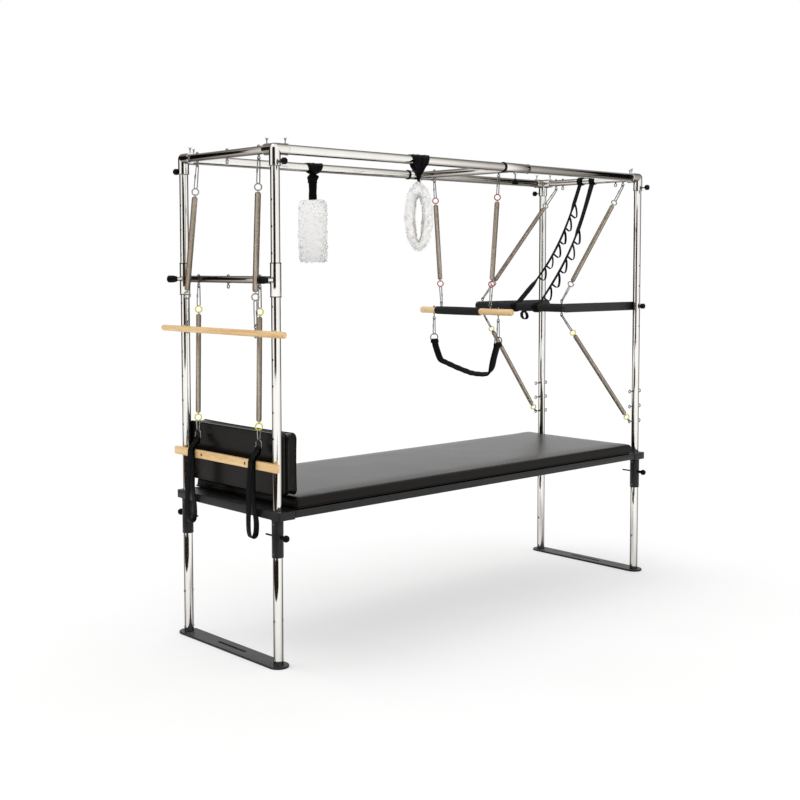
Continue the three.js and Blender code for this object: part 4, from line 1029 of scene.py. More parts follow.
def slider_parts():
    """The canopy slider: a cross tube between two sleeves, each with an end bushing and a boss."""
    x, z = SLIDER_X, RAIL_HEIGHT
    boss = [(0, 0), (0, 9), (7.0, 9.0), (7.5, 8.4), (7.5, 0)]
    parts = [across_bar(x, z, 12.0, SLIDER_RADIUS, 44)]
    for front in BOTH:
        y = front * HALF_WIDTH
        parts.append(hollow(CHROME, at(x - 88, y, z), at(x + 88, y, z), 23.5, 21.4))
        parts.append(hollow(NYLON, at(x - 92, y, z), at(x - 82, y, z), 25.2, 21.3, 1.0))
        parts.append(hollow(ZINC, at(x + 86, y, z), at(x + 89.5, y, z), 24.4, 21.3, 0.5))
        parts.append(turned(CHROME, at(x, y, z - 22.0), -Z_AXIS, boss, 24))
    for y in (-SPRING_Y, SPRING_Y):
        parts += eyebolt(at(x, y, z - SLIDER_RADIUS), -Z_AXIS, X_AXIS, through=2 * SLIDER_RADIUS)
    return parts


# Table


def end_beam_parts(side):
    """An end beam with the two sleeves that hold the legs, and the sleeves' set screws."""
    outer, inner = side * (HALF_LENGTH + 27.0), side * (HALF_LENGTH - 61.0)
    outline = rounded_outline(88.0, 778.0, 9.0, 6)
    origin = at((outer + inner) / 2, 0.0, BEAM_BOTTOM)
    weld = [(0, 0), (0, 25.0), (1.5, 26.2), (4.0, 28.0), (4.6, 29.0), (4.6, 0)]
    lip = [(0, 0), (0, 23.5), (1.2, 23.2), (2.4, 21.8), (2.4, 0)]
    parts = [slab(PAINT, outline, origin, X_AXIS, Y_AXIS, TABLE_TOP - BEAM_BOTTOM, 2.2)]
    for front in BOTH:
        x, y = side * HALF_LENGTH, front * HALF_WIDTH
        low, high = at(x, y, 467.0), at(x, y, BEAM_BOTTOM + 2)
        parts.append(hollow(PAINT, low, high, 25.0, 21.6, 1.2))
        for height in (484.0, 609.0):
            parts.append(round_head(at(x - 24.6, y, height), -X_AXIS, 4.2, 2.0))
        parts.append(turned(PAINT, at(x, y, BEAM_BOTTOM - 4.4), Z_AXIS, weld, 36))
        parts.append(turned(PAINT, at(x, y, TABLE_TOP - 0.4), Z_AXIS, lip, 36))
    return parts


def side_rail_parts(front):
    """A side rail: a bar with an inner ledge under the deck."""
    reach = HALF_LENGTH - 61.3
    outer, inner, ledge = front * 385.0, front * 360.0, front * 338.0
    bottom = TABLE_TOP - 32.0
    return [block(PAINT, at(-reach, min(a, b), bottom), at(reach, max(a, b), top), edge)
            for a, b, top, edge in (
                (outer, inner, TABLE_TOP, 2.0), (inner, ledge, bottom + 12.0, 1.0))]


def slat_parts():
    """The backrest's slat: a planed maple board with eased edges, its bolts and their heads."""
    back, face = -1264.3, -1244.3
    parts = [block("maple_wood", at(back, -385.0, 830.5), at(face, 385.0, 865.5), 1.8)]
    for y in (-165.0, 165.0):
        parts.append(rod(ZINC, at(face - 3, y, 848), at(-1206.3, y, 848), 4.0, 0.5, 14))
        parts.append(round_head(at(back + 0.4, y, 848.0), -X_AXIS, 7.0, 2.2))
    return parts


def leg_parts(side, front):
    """A leg tube with its cross bolts and a small weld collar at the foot plate."""
    x, y = side * HALF_LENGTH, front * HALF_WIDTH
    parts = [hollow(CHROME, at(x, y, 10.3), at(x, y, 620.0), 21.0, 18.5, sides=48)]
    collar = [(0, 0), (0, 23.4), (0.8, 23.6), (2.6, 21.6), (2.6, 0)]
    parts.append(turned(PAINT, at(x, y, 10.3), Z_AXIS, collar, 36))
    for height in (30.0, 197.0):
        for way in (-X_AXIS, X_AXIS):
            parts.append(round_head(at(x, y, height) + 20.6 * way, way, 6.0, 4.6))
    return parts


def leg_pin_parts(side, front):
    """A leg's lock pin: a steel rod through sleeve and leg with a ball knob on its outer end."""
    middle = at(side * HALF_LENGTH, front * HALF_WIDTH, 554.0)
    out = front * Y_AXIS
    grip = ball(15.0, 0.18, 14)
    grip = np.concatenate([[[grip[0, 0], 0.0]], grip])
    return [
        rod(PAINT, middle - 82.0 * out, middle + 50.0 * out, 4.0, 1.2, 16),
        rod(NYLON, middle + 27.0 * out, middle + 46.0 * out, 7.5, 1.0, 20),
        turned(NYLON, middle + 43.0 * out, out, grip, 28),
    ]


def foot_plate_parts(side):
    """A foot plate: a long round-ended bar with a slot through its middle."""
    outer, inner = (stadium((0, reach), (0, -reach), radius, 0.0, 17)
                    for reach, radius in ((HALF_WIDTH, 45.0), (96.5, 6.0)))
    origin = at(side * HALF_LENGTH, 0.0, 0.0)
    return [frame_plate(PAINT, outer, inner, origin, X_AXIS, Y_AXIS, 10.0, 1.6)]


# Bars


def roll_down_parts():
    """The roll-down bar: a turned dowel with rounded ends and its two eyebolts."""
    x, z, radius = ROLL_DOWN_X, ROLL_DOWN_HEIGHT, ROLL_DOWN_RADIUS
    parts = [turned("maple_wood", at(x, -460.0, z), Y_AXIS, eased_end(920.0, radius, 9.0, 6), 32)]
    for y in (-ROLL_EYE_Y, ROLL_EYE_Y):
        parts += eyebolt(at(x, y, z + radius), Z_AXIS, X_AXIS, through=2 * radius)
    return parts


def trapeze_parts():
    """The trapeze bar: a turned dowel with eyebolts up to its springs and down to its sling."""
    x, z, radius = SLIDER_X, TRAPEZE_HEIGHT, TRAPEZE_RADIUS
    parts = [turned("maple_wood", at(x, -325.0, z), Y_AXIS, eased_end(650.0, radius, 5.0, 5), 36)]
    for front in BOTH:
        parts += eyebolt(at(x, front * TRAPEZE_EYE_Y, z + TRAPEZE_LIFT), Z_AXIS, X_AXIS, sink=9.0)
    for front in BOTH:
        parts += eyebolt(at(x, front * SLING_Y, z - radius), -Z_AXIS, Y_AXIS,
                         through=2 * radius, neck=SLING_NECK)
    return parts


def grip_parts():
    """The grip: a foam sleeve with soft rounded ends that swells a little towards its middle."""
    low, length = 52.0 - 160.0, 320.0
    share = np.linspace(0.0, 1.0, 15)
    outer = np.stack([share * (length - 6) + 3, 20.4 + 0.8 * np.sin(share * math.pi)], -1)
    wall = np.concatenate([[[0.6, 17.0], [0.0, 18.2], [0.8, 19.8]], outer,
                           [[length - 0.8, 19.8], [length, 18.2], [length - 0.6, 17.0]]])
    start = at(SLIDER_X, low, TRAPEZE_HEIGHT)
    return [turned("foam_rubber", start, Y_AXIS, wall, 32, closed=True)]


def push_bar_parts():
    """The push-through bar: two flat arms with round ends, the bar between them, its eyebolts."""
    x, z = PUSH_X, PUSH_HEIGHT
    outline = stadium((HALF_LENGTH, z), (x, z), 23.0, -math.pi / 2, 15)
    parts = [slab(PAINT, outline, at(0, y, 0), X_AXIS, Z_AXIS, 20.0, 2.5)
             for y in (320.5, -300.5)]
    parts.append(rod("foam_rubber", at(x, -298.0, z), at(x, 298.0, z), PUSH_RADIUS, 3.0, 36))
    for y in (-PUSH_EYE_Y, PUSH_EYE_Y):
        for way in (1.0, -1.0):
            parts += eyebolt(at(x, y, z + way * PUSH_RADIUS), way * Z_AXIS, Y_AXIS)
    return parts


def pivot_pin_parts(front):
    """A pivot pin: a steel pin through post and arm with a fluted knob and a washer."""
    out = front * Y_AXIS
    base = at(HALF_LENGTH, front * HALF_WIDTH, PUSH_HEIGHT)
    return [
        rod(ZINC, base - 38.0 * out, base + 29.0 * out, 5.0, 0.8, 18),
        turned(ZINC, base + 20.2 * out, out, [(0, 0), (0, 9), (1.6, 9), (1.6, 0)], 24),
        knob(base + 26.0 * out, out, 15.0, 26.0),
    ]


# Springs and straps


def roll_down_spring_parts(front):
    """A roll-down spring from the left end bar to the roll-down bar, on chromed rings."""
    root = at(ROLL_DOWN_X, front * ROLL_EYE_Y, ROLL_DOWN_HEIGHT + ROLL_DOWN_RADIUS)
    return spring_line(
        at(-HALF_LENGTH, front * SPRING_Y, TOP_EYE), root + (EYE_NECK + 2 * EYE_RADIUS) * Z_AXIS,
        ROLL_SPRING_RADIUS, (98.0, 82.0), Y_AXIS, knee=at(ROLL_DOWN_X, root[1], ROLL_KNEE))


def leg_spring_parts(front):
    """A leg spring under the crossbar on yellow rings, with the bow shackle that holds a strap."""
    y = front * SPRING_Y
    top = at(-HALF_LENGTH, y, CROSSBAR_HEIGHT - CROSSBAR_RADIUS - EYE_NECK - 2 * EYE_RADIUS)
    parts = spring_line(top, at(D_RING_X, y, D_RING_TOP), 12.0, (82.0, 42.0), Y_AXIS,
                        rings="yellow_dip", held=True)
    turn = np.linspace(-0.35, math.pi + 0.35, 25)
    bow = at(D_RING_X, y, D_RING_TOP - 16.0) + at(
        0, 20.0 * np.cos(turn) * (1.0 + 0.08 * np.sin(turn)), 16.0 * np.sin(turn))
    legs = at(D_RING_X, y, D_RING_PIN)
    path = np.concatenate([[legs + at(0, 20.5, 0)], bow, [legs - at(0, 20.5, 0)]])
    parts.append(wire(ZINC, smooth_path(path, 3), 3.0, X_AXIS, sides=10))
    parts.append(rod(ZINC, legs - at(0, 26.0, 0), legs + at(0, 26.0, 0), 3.0, 0.8, 16))
    nut = [(0, 0), (0, 4.6), (1, 5.2), (6, 5.2), (7, 4.4), (7, 0)]
    for way in BOTH:
        parts.append(turned(ZINC, legs + at(0, way * 17.5, 0), way * Y_AXIS, nut, 20))
    return parts


def foot_strap_parts(front):
    """A foot strap: one closed band folded round the shackle's pin, led down past the slat in two
    layers, twisted open and dropped in a long loop."""
    y, pin, neck, loop = front * SPRING_Y, D_RING_X, -1269.3, -1276.0
    side = np.array([
        (pin - 5.6, 920.0), (pin - 12.0, 906.0), (neck - 8.0, 872.0), (neck - 13.0, 842.0),
        (neck - 18.0, 780.0), (neck - 22.0, 720.0), (neck - 24.0, 680.0), (loop - 19.0, 640.0),
        (loop - 20.4, 606.0), (loop - 19.2, 570.0), (loop - 12.6, 547.0), (loop, 539.8),
        (loop + 12.6, 547.0), (loop + 19.2, 570.0), (loop + 20.0, 606.0), (loop + 16.0, 640.0),
        (neck + 3.0, 680.0), (neck + 1.6, 720.0), (neck + 1.4, 780.0), (neck + 1.4, 842.0),
        (neck + 2.6, 866.0), (pin - 5.0, 904.0), (pin + 4.6, 916.0), (pin + 4.4, 923.5),
        (pin, 925.4),
    ])
    path = smooth_path(np.concatenate([side, side[:1]]), 6)[:-1]
    sway = 4.0 * ease((880.0 - path[:, 1]) / 240.0) * np.sin(path[:, 1] / 95.0 + front)
    spots = at(path[:, 0], y + sway, path[:, 1])
    lean = 0.32 * front * ease((720.0 - path[:, 1]) / 140.0) * np.sign(path[:, 0] - loop + 0.01)
    across = at(0.22 * lean, 1.0, 0.12 * lean)
    wrap = smooth_path([
        (pin - 17.0, y, 896.0), (pin - 9.4, y, 909.0), (pin - 2.0, y, 903.0), (pin - 8.0, y, 889.0)
    ], 5)
    return [webbing(spots, across, 35.0, 2.8, closed=True), webbing(wrap, Y_AXIS, 36.0, 2.4)]


def trapeze_spring_parts(front):
    """A trapeze spring from the slider to the trapeze bar, on red rings."""
    hang = EYE_NECK + 2 * EYE_RADIUS
    high = at(SLIDER_X, front * SPRING_Y, RAIL_HEIGHT - SLIDER_RADIUS - hang)
    low = at(SLIDER_X, front * TRAPEZE_EYE_Y, TRAPEZE_HEIGHT + TRAPEZE_LIFT + hang)
    return spring_line(high, low, 13.0, (82.0, 82.0), Y_AXIS, rings="red_dip")


def push_top_ends(front):
    """Where an upper push spring hangs on the right end bar and on the push bar."""
    root = at(PUSH_X, front * PUSH_EYE_Y, PUSH_HEIGHT + PUSH_RADIUS)
    high = at(HALF_LENGTH, front * 240.0, TOP_EYE)
    return high, pulled_eye(root, Z_AXIS, high, Y_AXIS)


def push_low_ends(front):
    """Where a lower push spring hangs on the push bar and on the post's lowest eyebolt."""
    root = at(PUSH_X, front * PUSH_EYE_Y, PUSH_HEIGHT - PUSH_RADIUS)
    low = at(HALF_LENGTH - POST_RADIUS - 18.0, front * HALF_WIDTH, POST_EYES[0])
    return pulled_eye(root, -Z_AXIS, low, Y_AXIS), pulled_eye(low, -X_AXIS, root, Y_AXIS)


def sling_parts():
    """The trapeze sling: padded hand ends on D rings, joined by a soft rolled band."""
    top = 1294.0
    shares = [
        (0.985, -0.01), (0.955, 0.16), (0.9, 0.34), (0.845, 0.5), (0.80, 0.6), (0.74, 0.655),
        (0.55, 0.73), (0.3, 0.83), (0.0, 0.93), (-0.2, 0.985), (-0.42, 1.0), (-0.62, 0.985),
        (-0.74, 0.93), (-0.81, 0.76), (-0.86, 0.5), (-0.92, 0.24), (-0.985, -0.01),
    ]
    curve = smooth_path(shares, 8)
    path = at(SLIDER_X, curve[:, 0] * SLING_Y, top - curve[:, 1] * 158.0)
    padded = ease((np.abs(curve[:, 0] + 0.02) - 0.70) / 0.12)
    width = 30.0 + 12.0 * padded + 1.6 * np.sin(np.arange(len(curve)) * 0.9) * (1 - padded)
    tilt = X_AXIS + 0.9 * (1 - padded)[:, None] * Z_AXIS
    fold = ((9.0, -14.0), (8.4, 2.0), (0.0, 7.5), (-8.4, 2.0), (-9.0, -14.0))
    parts = [webbing(path, tilt, width, 9.0 + 5.0 * padded)]
    for front in BOTH:
        y = front * SLING_Y
        root = at(SLIDER_X, y, TRAPEZE_HEIGHT - TRAPEZE_RADIUS)
        hang = root - (SLING_NECK + 2 * EYE_RADIUS) * Z_AXIS
        parts += snap_hook(hang + HOOK * Z_AXIS, at(SLIDER_X, y, 1328.0), X_AXIS)
        middle, reach = at(SLIDER_X, y, 1311.0), 26.0 * X_AXIS
        d_ring = loop_path(middle - reach, middle + reach, Y_AXIS, 17.0, 17.0)
        parts.append(wire(ZINC, d_ring, 3.0, Y_AXIS, closed=True))
        spot = path[0] if front > 0 else path[-1]
        parts.append(webbing([spot + at(0, a, b) for a, b in fold], X_AXIS, 41.0, 2.6))
    return parts


def daisy_strand(top, bottom, first, last, loops, belly):
    """One strand of the safety strap: a band that hangs slack, with a row of loops sewn below it.

    path(s) = top + s * (bottom - top) + belly * sin(pi s) * down, and loop k leaves the band at one
    stitch and comes back at the next, sagging as sin(pi t) to the power 0.7."""
    along = unit(bottom - top)
    length = np.linalg.norm(bottom - top)
    down = unit(np.cross(along, Y_AXIS))
    share = np.linspace(0.0, 1.0, 70)
    path = top + share[:, None] * (bottom - top) + (belly * np.sin(share * math.pi))[:, None] * down
    twist = 0.22 * np.sin(7.0 * share + belly) - 0.5 * ease((share - last) / 0.12)
    across = np.cos(twist)[:, None] * Y_AXIS + np.sin(twist)[:, None] * down
    head, tail = 1 - ease((share - first) / 0.08), ease((share - last) / 0.06)
    thick = 3.2 + 2.2 * head + 2.6 * tail
    parts = [webbing(path, across, 15.0 + 18.0 * head + 16.0 * tail, thick)]
    pitch = (last - first) / loops
    t = np.linspace(0.0, 1.0, 21)
    out = math.cos(0.3) * down - math.sin(0.3) * Y_AXIS
    for k in range(loops):
        sag = (37.0 + 5.0 * math.sin(2.3 * k + belly)) * np.sin(t * math.pi) ** 0.7
        spot = first + pitch * (k + 0.06 + 0.8 * t + 0.26 * np.sin(t * math.pi))
        sink = belly * np.sin(spot * math.pi)
        base = top + (spot * length)[:, None] * along + sink[:, None] * down
        lean = 0.3 + 0.15 * math.sin(1.7 * k + belly)
        flat = math.cos(lean) * Y_AXIS + math.sin(lean) * down
        parts.append(webbing(base + (1.6 + sag)[:, None] * out, flat, 17.0, 2.6))
    return parts


def safety_strap_parts():
    """The safety strap: two looped strands between wraps on the top bar and on the push bar."""
    along = unit(at(PUSH_X - HALF_LENGTH, 0.0, PUSH_HEIGHT - RAIL_HEIGHT))
    turn = np.linspace(0.0, 2 * math.pi, 40, endpoint=False)
    circle = at(np.cos(turn), 0, np.sin(turn))
    parts = []
    for y_top, y_low, first, last, loops, belly in (
            (52.0, 36.0, 0.13, 0.76, 6, 64.0), (-34.0, -118.0, 0.34, 0.96, 5, 50.0)):
        top = at(HALF_LENGTH, y_top, RAIL_HEIGHT)
        low = at(PUSH_X, y_low, PUSH_HEIGHT)
        parts += daisy_strand(top + 20.5 * along, low - 24.5 * along, first, last, loops, belly)
        for level, middle in ((20.0, top), (24.0, low)):
            for shift, rise in ((-4.0, 0.0), (5.0, 2.2)):
                path = middle + at(0, shift, 0) + (level + rise) * circle
                parts.append(webbing(path, Y_AXIS, 27.0, 2.6, closed=True))
    drop = np.array([
        (0.0, -22.0), (14.0, -36.0), (20.0, -54.0), (4.0, -66.0), (-18.0, -56.0), (-24.0, -36.0),
        (-12.0, -22.0)])
    path = smooth_path(at(PUSH_X + drop[:, 0], -28.0, PUSH_HEIGHT + drop[:, 1]), 6)
    parts.append(webbing(path, Y_AXIS, 22.0, 2.4))
    return parts


# Upholstery and cuffs


def drawn_in(plan, length, width, draw):
    """Points of a pad's plan with each side drawn in between its corners."""
    share = plan / (np.array([length, width]) / 2)
    free = np.clip(1 - share[..., ::-1] ** 2, 0, 1)
    return plan - draw * np.sign(share) * free * share**2


def pad_skin(centre, axes, size, edge, corner, crown, draw, gap=26.0, rings=9):
    """A crowned pad as one closed surface: its outline is carried from the middle of one face out,
    round the first edge, up the side, round the second edge and back to the middle of the other.

    The top rises by crown * (1 - x^2) * (1 - y^2) and each side is drawn in by draw * (1 - s^2)
    between its corners, with x, y and s as shares of the half size."""
    length, width, thick = size
    outline = dense(rounded_outline(length, width, corner, 7), gap)
    out = outline_normals(outline)
    bend = np.linspace(0.0, math.pi / 2, 6)
    level = edge * (1 - np.cos(bend))
    face = outline - edge * out
    low = face[None] * (np.linspace(0.0, 1.0, rings) ** 0.8)[:-1, None, None]
    side = outline[None] - (edge * (1 - np.sin(bend)))[:, None, None] * out
    plan = np.concatenate([low, side, side[::-1], low[::-1]])
    levels = np.concatenate([
        np.zeros(rings - 1), level, thick - level[::-1], np.full(rings - 1, thick)])
    x = plan[..., 0] / (length / 2)
    y = plan[..., 1] / (width / 2)
    z = np.broadcast_to(levels[:, None] - thick / 2, x.shape)
    rise = (np.clip(z / (thick / 2), 0, 1) * crown
            * np.clip(1 - x**2, 0, 1) * np.clip(1 - y**2, 0, 1))
    plan = drawn_in(plan, length, width, draw)
    return skin(VINYL, centre + at(plan[..., 0], plan[..., 1], z + rise) @ axes)


def welt(centre, axes, size, corner, draw, level, thick=1.7):
    """A sewn welt: a thin cord along the pad's outline at one height of its side."""
    length, width, _ = size
    outline = dense(rounded_outline(length, width, corner, 9), 12.0)
    plan = drawn_in(outline, length, width, draw)
    path = centre + at(plan[:, 0], plan[:, 1], level) @ axes
    return wire(VINYL, path, thick, axes[2], closed=True)


def read_points(made):
    """The points of an object's mesh, one row each, in metres."""
    flat = np.zeros(len(made.data.vertices) * 3, np.float32)
    made.data.vertices.foreach_get("co", flat)
    return flat.reshape(-1, 3)


def write_points(made, points):
    """Moves the points of an object's mesh to the given rows."""
    made.data.vertices.foreach_set("co", points.astype(np.float32).ravel())
    made.data.update()


def swell(made, voxel, pressure, cap, share, frames=20):
    """Blows a pad up as cloth: remeshes it, lets air pressure round it, and keeps each point
    within a cap of where it started, and within its share of that near a welt."""
    scene = bpy.context.scene
    remesh = made.modifiers.new("remesh", "REMESH")
    remesh.mode = "VOXEL"
    remesh.voxel_size = voxel * MM
    bake(made)
    start = read_points(made)
    air = made.modifiers.new("air", "CLOTH").settings
    air.quality = 6
    air.mass = 0.25
    air.tension_stiffness = air.compression_stiffness = 12
    air.bending_stiffness = 0.6
    air.use_pressure = True
    air.uniform_pressure_force = pressure
    air.effector_weights.gravity = 0.0
    for step in range(1, frames + 1):
        scene.frame_set(step)
    bake(made)
    scene.frame_set(1)
    move = read_points(made) - start
    reach = np.linalg.norm(move, axis=1, keepdims=True)
    move *= np.minimum(1.0, cap * MM / np.maximum(reach, 1e-9)) * share(start / MM)
    write_points(made, start + move)


def hold_above(made, axis, level):
    """Rests a pad on its board: along one axis no point stays under a level."""
    points = read_points(made)
    points[:, axis] = np.maximum(points[:, axis], level * MM)
    write_points(made, points)


def bake(made):
    """Replaces an object's mesh by the one its modifiers give."""
    graph = bpy.context.evaluated_depsgraph_get()
    new = bpy.data.meshes.new_from_object(made.evaluated_get(graph))
    made.modifiers.clear()
    made.data = new


def smooth_all(made):
    """Smooth shading over a whole mesh."""
    made.data.polygons.foreach_set("use_smooth", np.ones(len(made.data.polygons), bool))
    made.data.update()


def upholster(name, stands_for, centre, axes, size, edge, corner, crown, draw, welts, voxel, cap,
              rest):
    """It rests at a level on an axis."""
    pad = pad_skin(centre, axes, size, edge, corner, crown, draw)
    body = linked(name, mesh_of(name, [pad]))

    def share(points):
        depth = (points - centre - at(SHIFT, 0, 0)) @ axes[2]
        return ease(np.abs(depth[:, None] - np.array(welts)).min(1) / WELT_HOLD)[:, None]

    swell(body, voxel, 4.0, cap, share)
    body.data.materials.clear()
    body.data.materials.append(finish(VINYL))
    hold_above(body, *rest)
    smooth_all(body)
    settle(body, stands_for)
    cords = [welt(centre, axes, size, corner, draw, level) for level in welts]
    piece(name + "_welts", cords, None, BODY_OF[stands_for])


def cuff_loop(drop):
    """A fleece cuff: a ring of sheepskin whose section is a rounded box between an oval outside
    and a teardrop opening.

    point = middle(t) + half gap(t) * c(s) across + 68 * d(s) along the cuff, where c and d are the
    cosine and sine of s with their powers lowered to square the section off."""
    top = RAIL_HEIGHT - drop
    count = 108
    t = np.linspace(0.0, 2 * math.pi, count, endpoint=False)
    outer = np.stack([66.0 * np.sin(t), top - 155.0 + 155.0 * np.cos(t)], -1)
    half = [(7, -72), (13, -92), (17, -126), (16, -170), (12, -215), (7, -252), (4, -262)]
    tear = [(0, -66), *half, (0, -265), *((-x, y) for x, y in reversed(half)), (0, -66)]
    curve = smooth_path(tear, 12)[:-1]
    spacing = np.concatenate([[0], np.cumsum(np.linalg.norm(np.diff(curve, axis=0), axis=1))])
    places = np.linspace(0.0, spacing[-1], count, endpoint=False)
    inner = np.stack([
        np.interp(places, spacing, curve[:, k]) for k in (0, 1)], -1) + np.array([0, top])
    s = np.linspace(0.0, 2 * math.pi, CUFF_SECTION, endpoint=False)
    c = np.sign(np.cos(s)) * np.abs(np.cos(s)) ** 0.62
    d = np.sign(np.sin(s)) * np.abs(np.sin(s)) ** 0.5
    middle, half_gap = (outer + inner) / 2, (outer - inner) / 2
    plan = middle[:, None] + half_gap[:, None] * c[None, :, None]
    return at(plan[..., 0], 68.0 * d, plan[..., 1])


def spin(points, x, y, turn):
    """Turns points about the vertical by an angle in degrees and sets them at x, y."""
    a = math.radians(turn)
    matrix = np.array([[math.cos(a), math.sin(a), 0], [-math.sin(a), math.cos(a), 0], [0, 0, 1]])
    return points @ matrix + at(x, y, 0)


def grid_normals(points):
    """Unit normals of a surface closed along rows and columns."""
    du = np.roll(points, -1, 0) - np.roll(points, 1, 0)
    dv = np.roll(points, -1, 1) - np.roll(points, 1, 1)
    return unit(np.cross(du, dv))


def wool_locks(points, normals, number, length, seed):
    """Hundreds of tapered locks of wool: three-sided hooks rooted over a surface, each bent down
    and aside, worked out together."""
    rng = np.random.default_rng(seed)
    rows, columns = points.shape[:2]
    i = rng.integers(0, rows, number)
    j = rng.integers(0, columns, number)
    a, b = rng.random((2, number, 1))
    i2, j2 = (i + 1) % rows, (j + 1) % columns
    root = ((1 - a) * (1 - b) * points[i, j] + a * (1 - b) * points[i2, j]
            + (1 - a) * b * points[i, j2] + a * b * points[i2, j2])
    out = unit(normals[i, j] + 0.35 * rng.normal(size=(number, 3)))
    fall = np.array([0.0, 0.0, -1.0]) + 0.75 * rng.normal(size=(number, 3))
    long = length * rng.uniform(0.6, 1.25, (number, 1))
    share = np.array([0.0, 0.45, 0.8, 1.0])[:, None, None]
    path = root + share * long * out + (share**2) * long * 0.75 * fall
    side = unit(np.cross(out, fall))
    up = unit(np.cross(out, side))
    thick = (np.array([2.6, 2.3, 1.3, 0.15])[:, None, None]) * rng.uniform(0.7, 1.2, (number, 1))
    angle = np.linspace(0.0, 2 * math.pi, 3, endpoint=False)
    grid = np.stack([path + thick * (math.cos(q) * side + math.sin(q) * up) for q in angle], 2)
    r, k = np.meshgrid(np.arange(3), np.arange(3), indexing="ij")
    near, far, step = r * 3 + k, r * 3 + (k + 1) % 3, 3
    one = np.stack([near, far, far + step, near + step], -1).reshape(-1, 4)
    one = np.concatenate([one, [[0, 1, 2, 2], [9, 11, 10, 10]]])
    faces = one[None] + 12 * np.arange(number)[:, None, None]
    return {"stuff": "sheepskin", "points": grid.transpose(1, 0, 2, 3).reshape(-1, 3),
            "faces": faces.reshape(-1, 4), "uv": np.zeros((faces.size, 2))}


def gathered(x, y, drop, top_half, low_half, turn, seed, slide=0.0):
    """Webbing pulled together below the rail into a tapering bunch with deep pleats.

    point = centre(s) + (1 + pleat(a, s)) * (half(s) * cos a * across(s) + depth(s) * sin a * face),
    with s from the rail down, a round the bunch, and pleats that turn slowly as they run down."""
    s = np.linspace(0.0, 1.0, 26)[:, None]
    a = np.linspace(0.0, 2 * math.pi, 84, endpoint=False)[None]
    taper = ease(s**0.8)
    half = top_half * (1 - taper) + low_half * taper
    depth = 25.0 * (1 - taper) + 4.5 * taper
    rng = np.random.default_rng(seed)
    p, q, r = rng.uniform(0.0, 6.0, 3)
    pleat = 0.24 * np.sin(6 * a + 3.2 * s + p) + 0.13 * np.sin(11 * a - 5.0 * s + q)
    pleat = pleat * (0.4 + 0.6 * s**0.5) + 0.08 * np.sin(10.0 * s + 2 * a + r)
    flat = spin(Y_AXIS, 0.0, 0.0, turn)
    across = unit((1 - taper)[..., None] * X_AXIS + taper[..., None] * flat)
    face = np.cross(across, Z_AXIS)
    fall = (4.0 + (drop - 4.0) * s)[..., None] * Z_AXIS
    middle = at(x, y, RAIL_HEIGHT) + (slide * (1 - taper))[..., None] * X_AXIS - fall
    points = middle + (1 + pleat)[..., None] * (
        (half * np.cos(a))[..., None] * across + (depth * np.sin(a))[..., None] * face)
    return capped("woven_webbing", middle[:, 0], points, False)


def wound_turns(x, y, places, width, seed):
    """Turns of webbing wound round the rail: skewed bands that ride over each other."""
    rng = np.random.default_rng(seed)
    t = np.linspace(0.0, 2 * math.pi, 48, endpoint=False)
    parts = []
    for k, place in enumerate(places):
        radius = 22.8 + 1.3 * (k % 2) + 0.7 * np.sin(2 * t + k)
        lean = rng.uniform(-11.0, 11.0)
        path = at(x + place + lean * np.sin(t + k), y + radius * np.cos(t),
                  RAIL_HEIGHT + radius * np.sin(t))
        tip = at(1.0, 0.12 * np.cos(t + k), 0.12 * np.sin(t))
        parts.append(webbing(path, tip, width - 2.0 * (k % 2), 2.6, closed=True))
    return parts


def rear_wrap(x, y, drop, turn, seed):
    """The rear cuff's webbing: turns on the rail, a bunch below them and the doubled strap."""
    knot = 66.0
    parts = wound_turns(x, y, (-27.0, -9.0, 10.0, 27.0), 31.0, seed)
    parts.append(gathered(x, y, knot + 8.0, 40.0, 19.0, turn, seed))
    flat = spin(Y_AXIS, 0.0, 0.0, turn)
    face = np.cross(flat, Z_AXIS)
    z = np.linspace(RAIL_HEIGHT - knot + 26.0, RAIL_HEIGHT - drop - 12.0, 24)
    for k, offset in enumerate((-2.2, 2.2)):
        curl = 1.5 * np.sin(z / 15.0 + 2.0 * k)
        path = at(x, y, 0) + z[:, None] * Z_AXIS + (offset + curl)[:, None] * face
        parts.append(webbing(path, flat, 39.0 + 1.5 * np.sin(z / 11.0 + k), 2.8))
    return parts


def front_wrap(x, y, drop, turn, seed):
    """The front cuff's webbing: a broad wrap, two bunches that meet at the cuff, a slack bight."""
    low = drop + 4.0
    parts = wound_turns(x, y, (-38.0, -20.0, -2.0, 17.0, 36.0), 33.0, seed)
    parts.append(gathered(x, y, low, 29.0, 8.0, turn, seed, slide=-25.0))
    parts.append(gathered(x, y, low - 3.0, 30.0, 8.0, turn, seed + 1, slide=24.0))
    bight = smooth_path([
        (-46.0, -27.0, -4.0), (-50.0, -31.0, -24.0), (-44.0, -36.0, -42.0), (-54.0, -34.0, -58.0),
        (-64.0, -30.0, -50.0)], 6)
    parts.append(webbing(at(x, y, RAIL_HEIGHT) + bight, Y_AXIS + 0.5 * X_AXIS, 20.0, 3.0))
    return parts


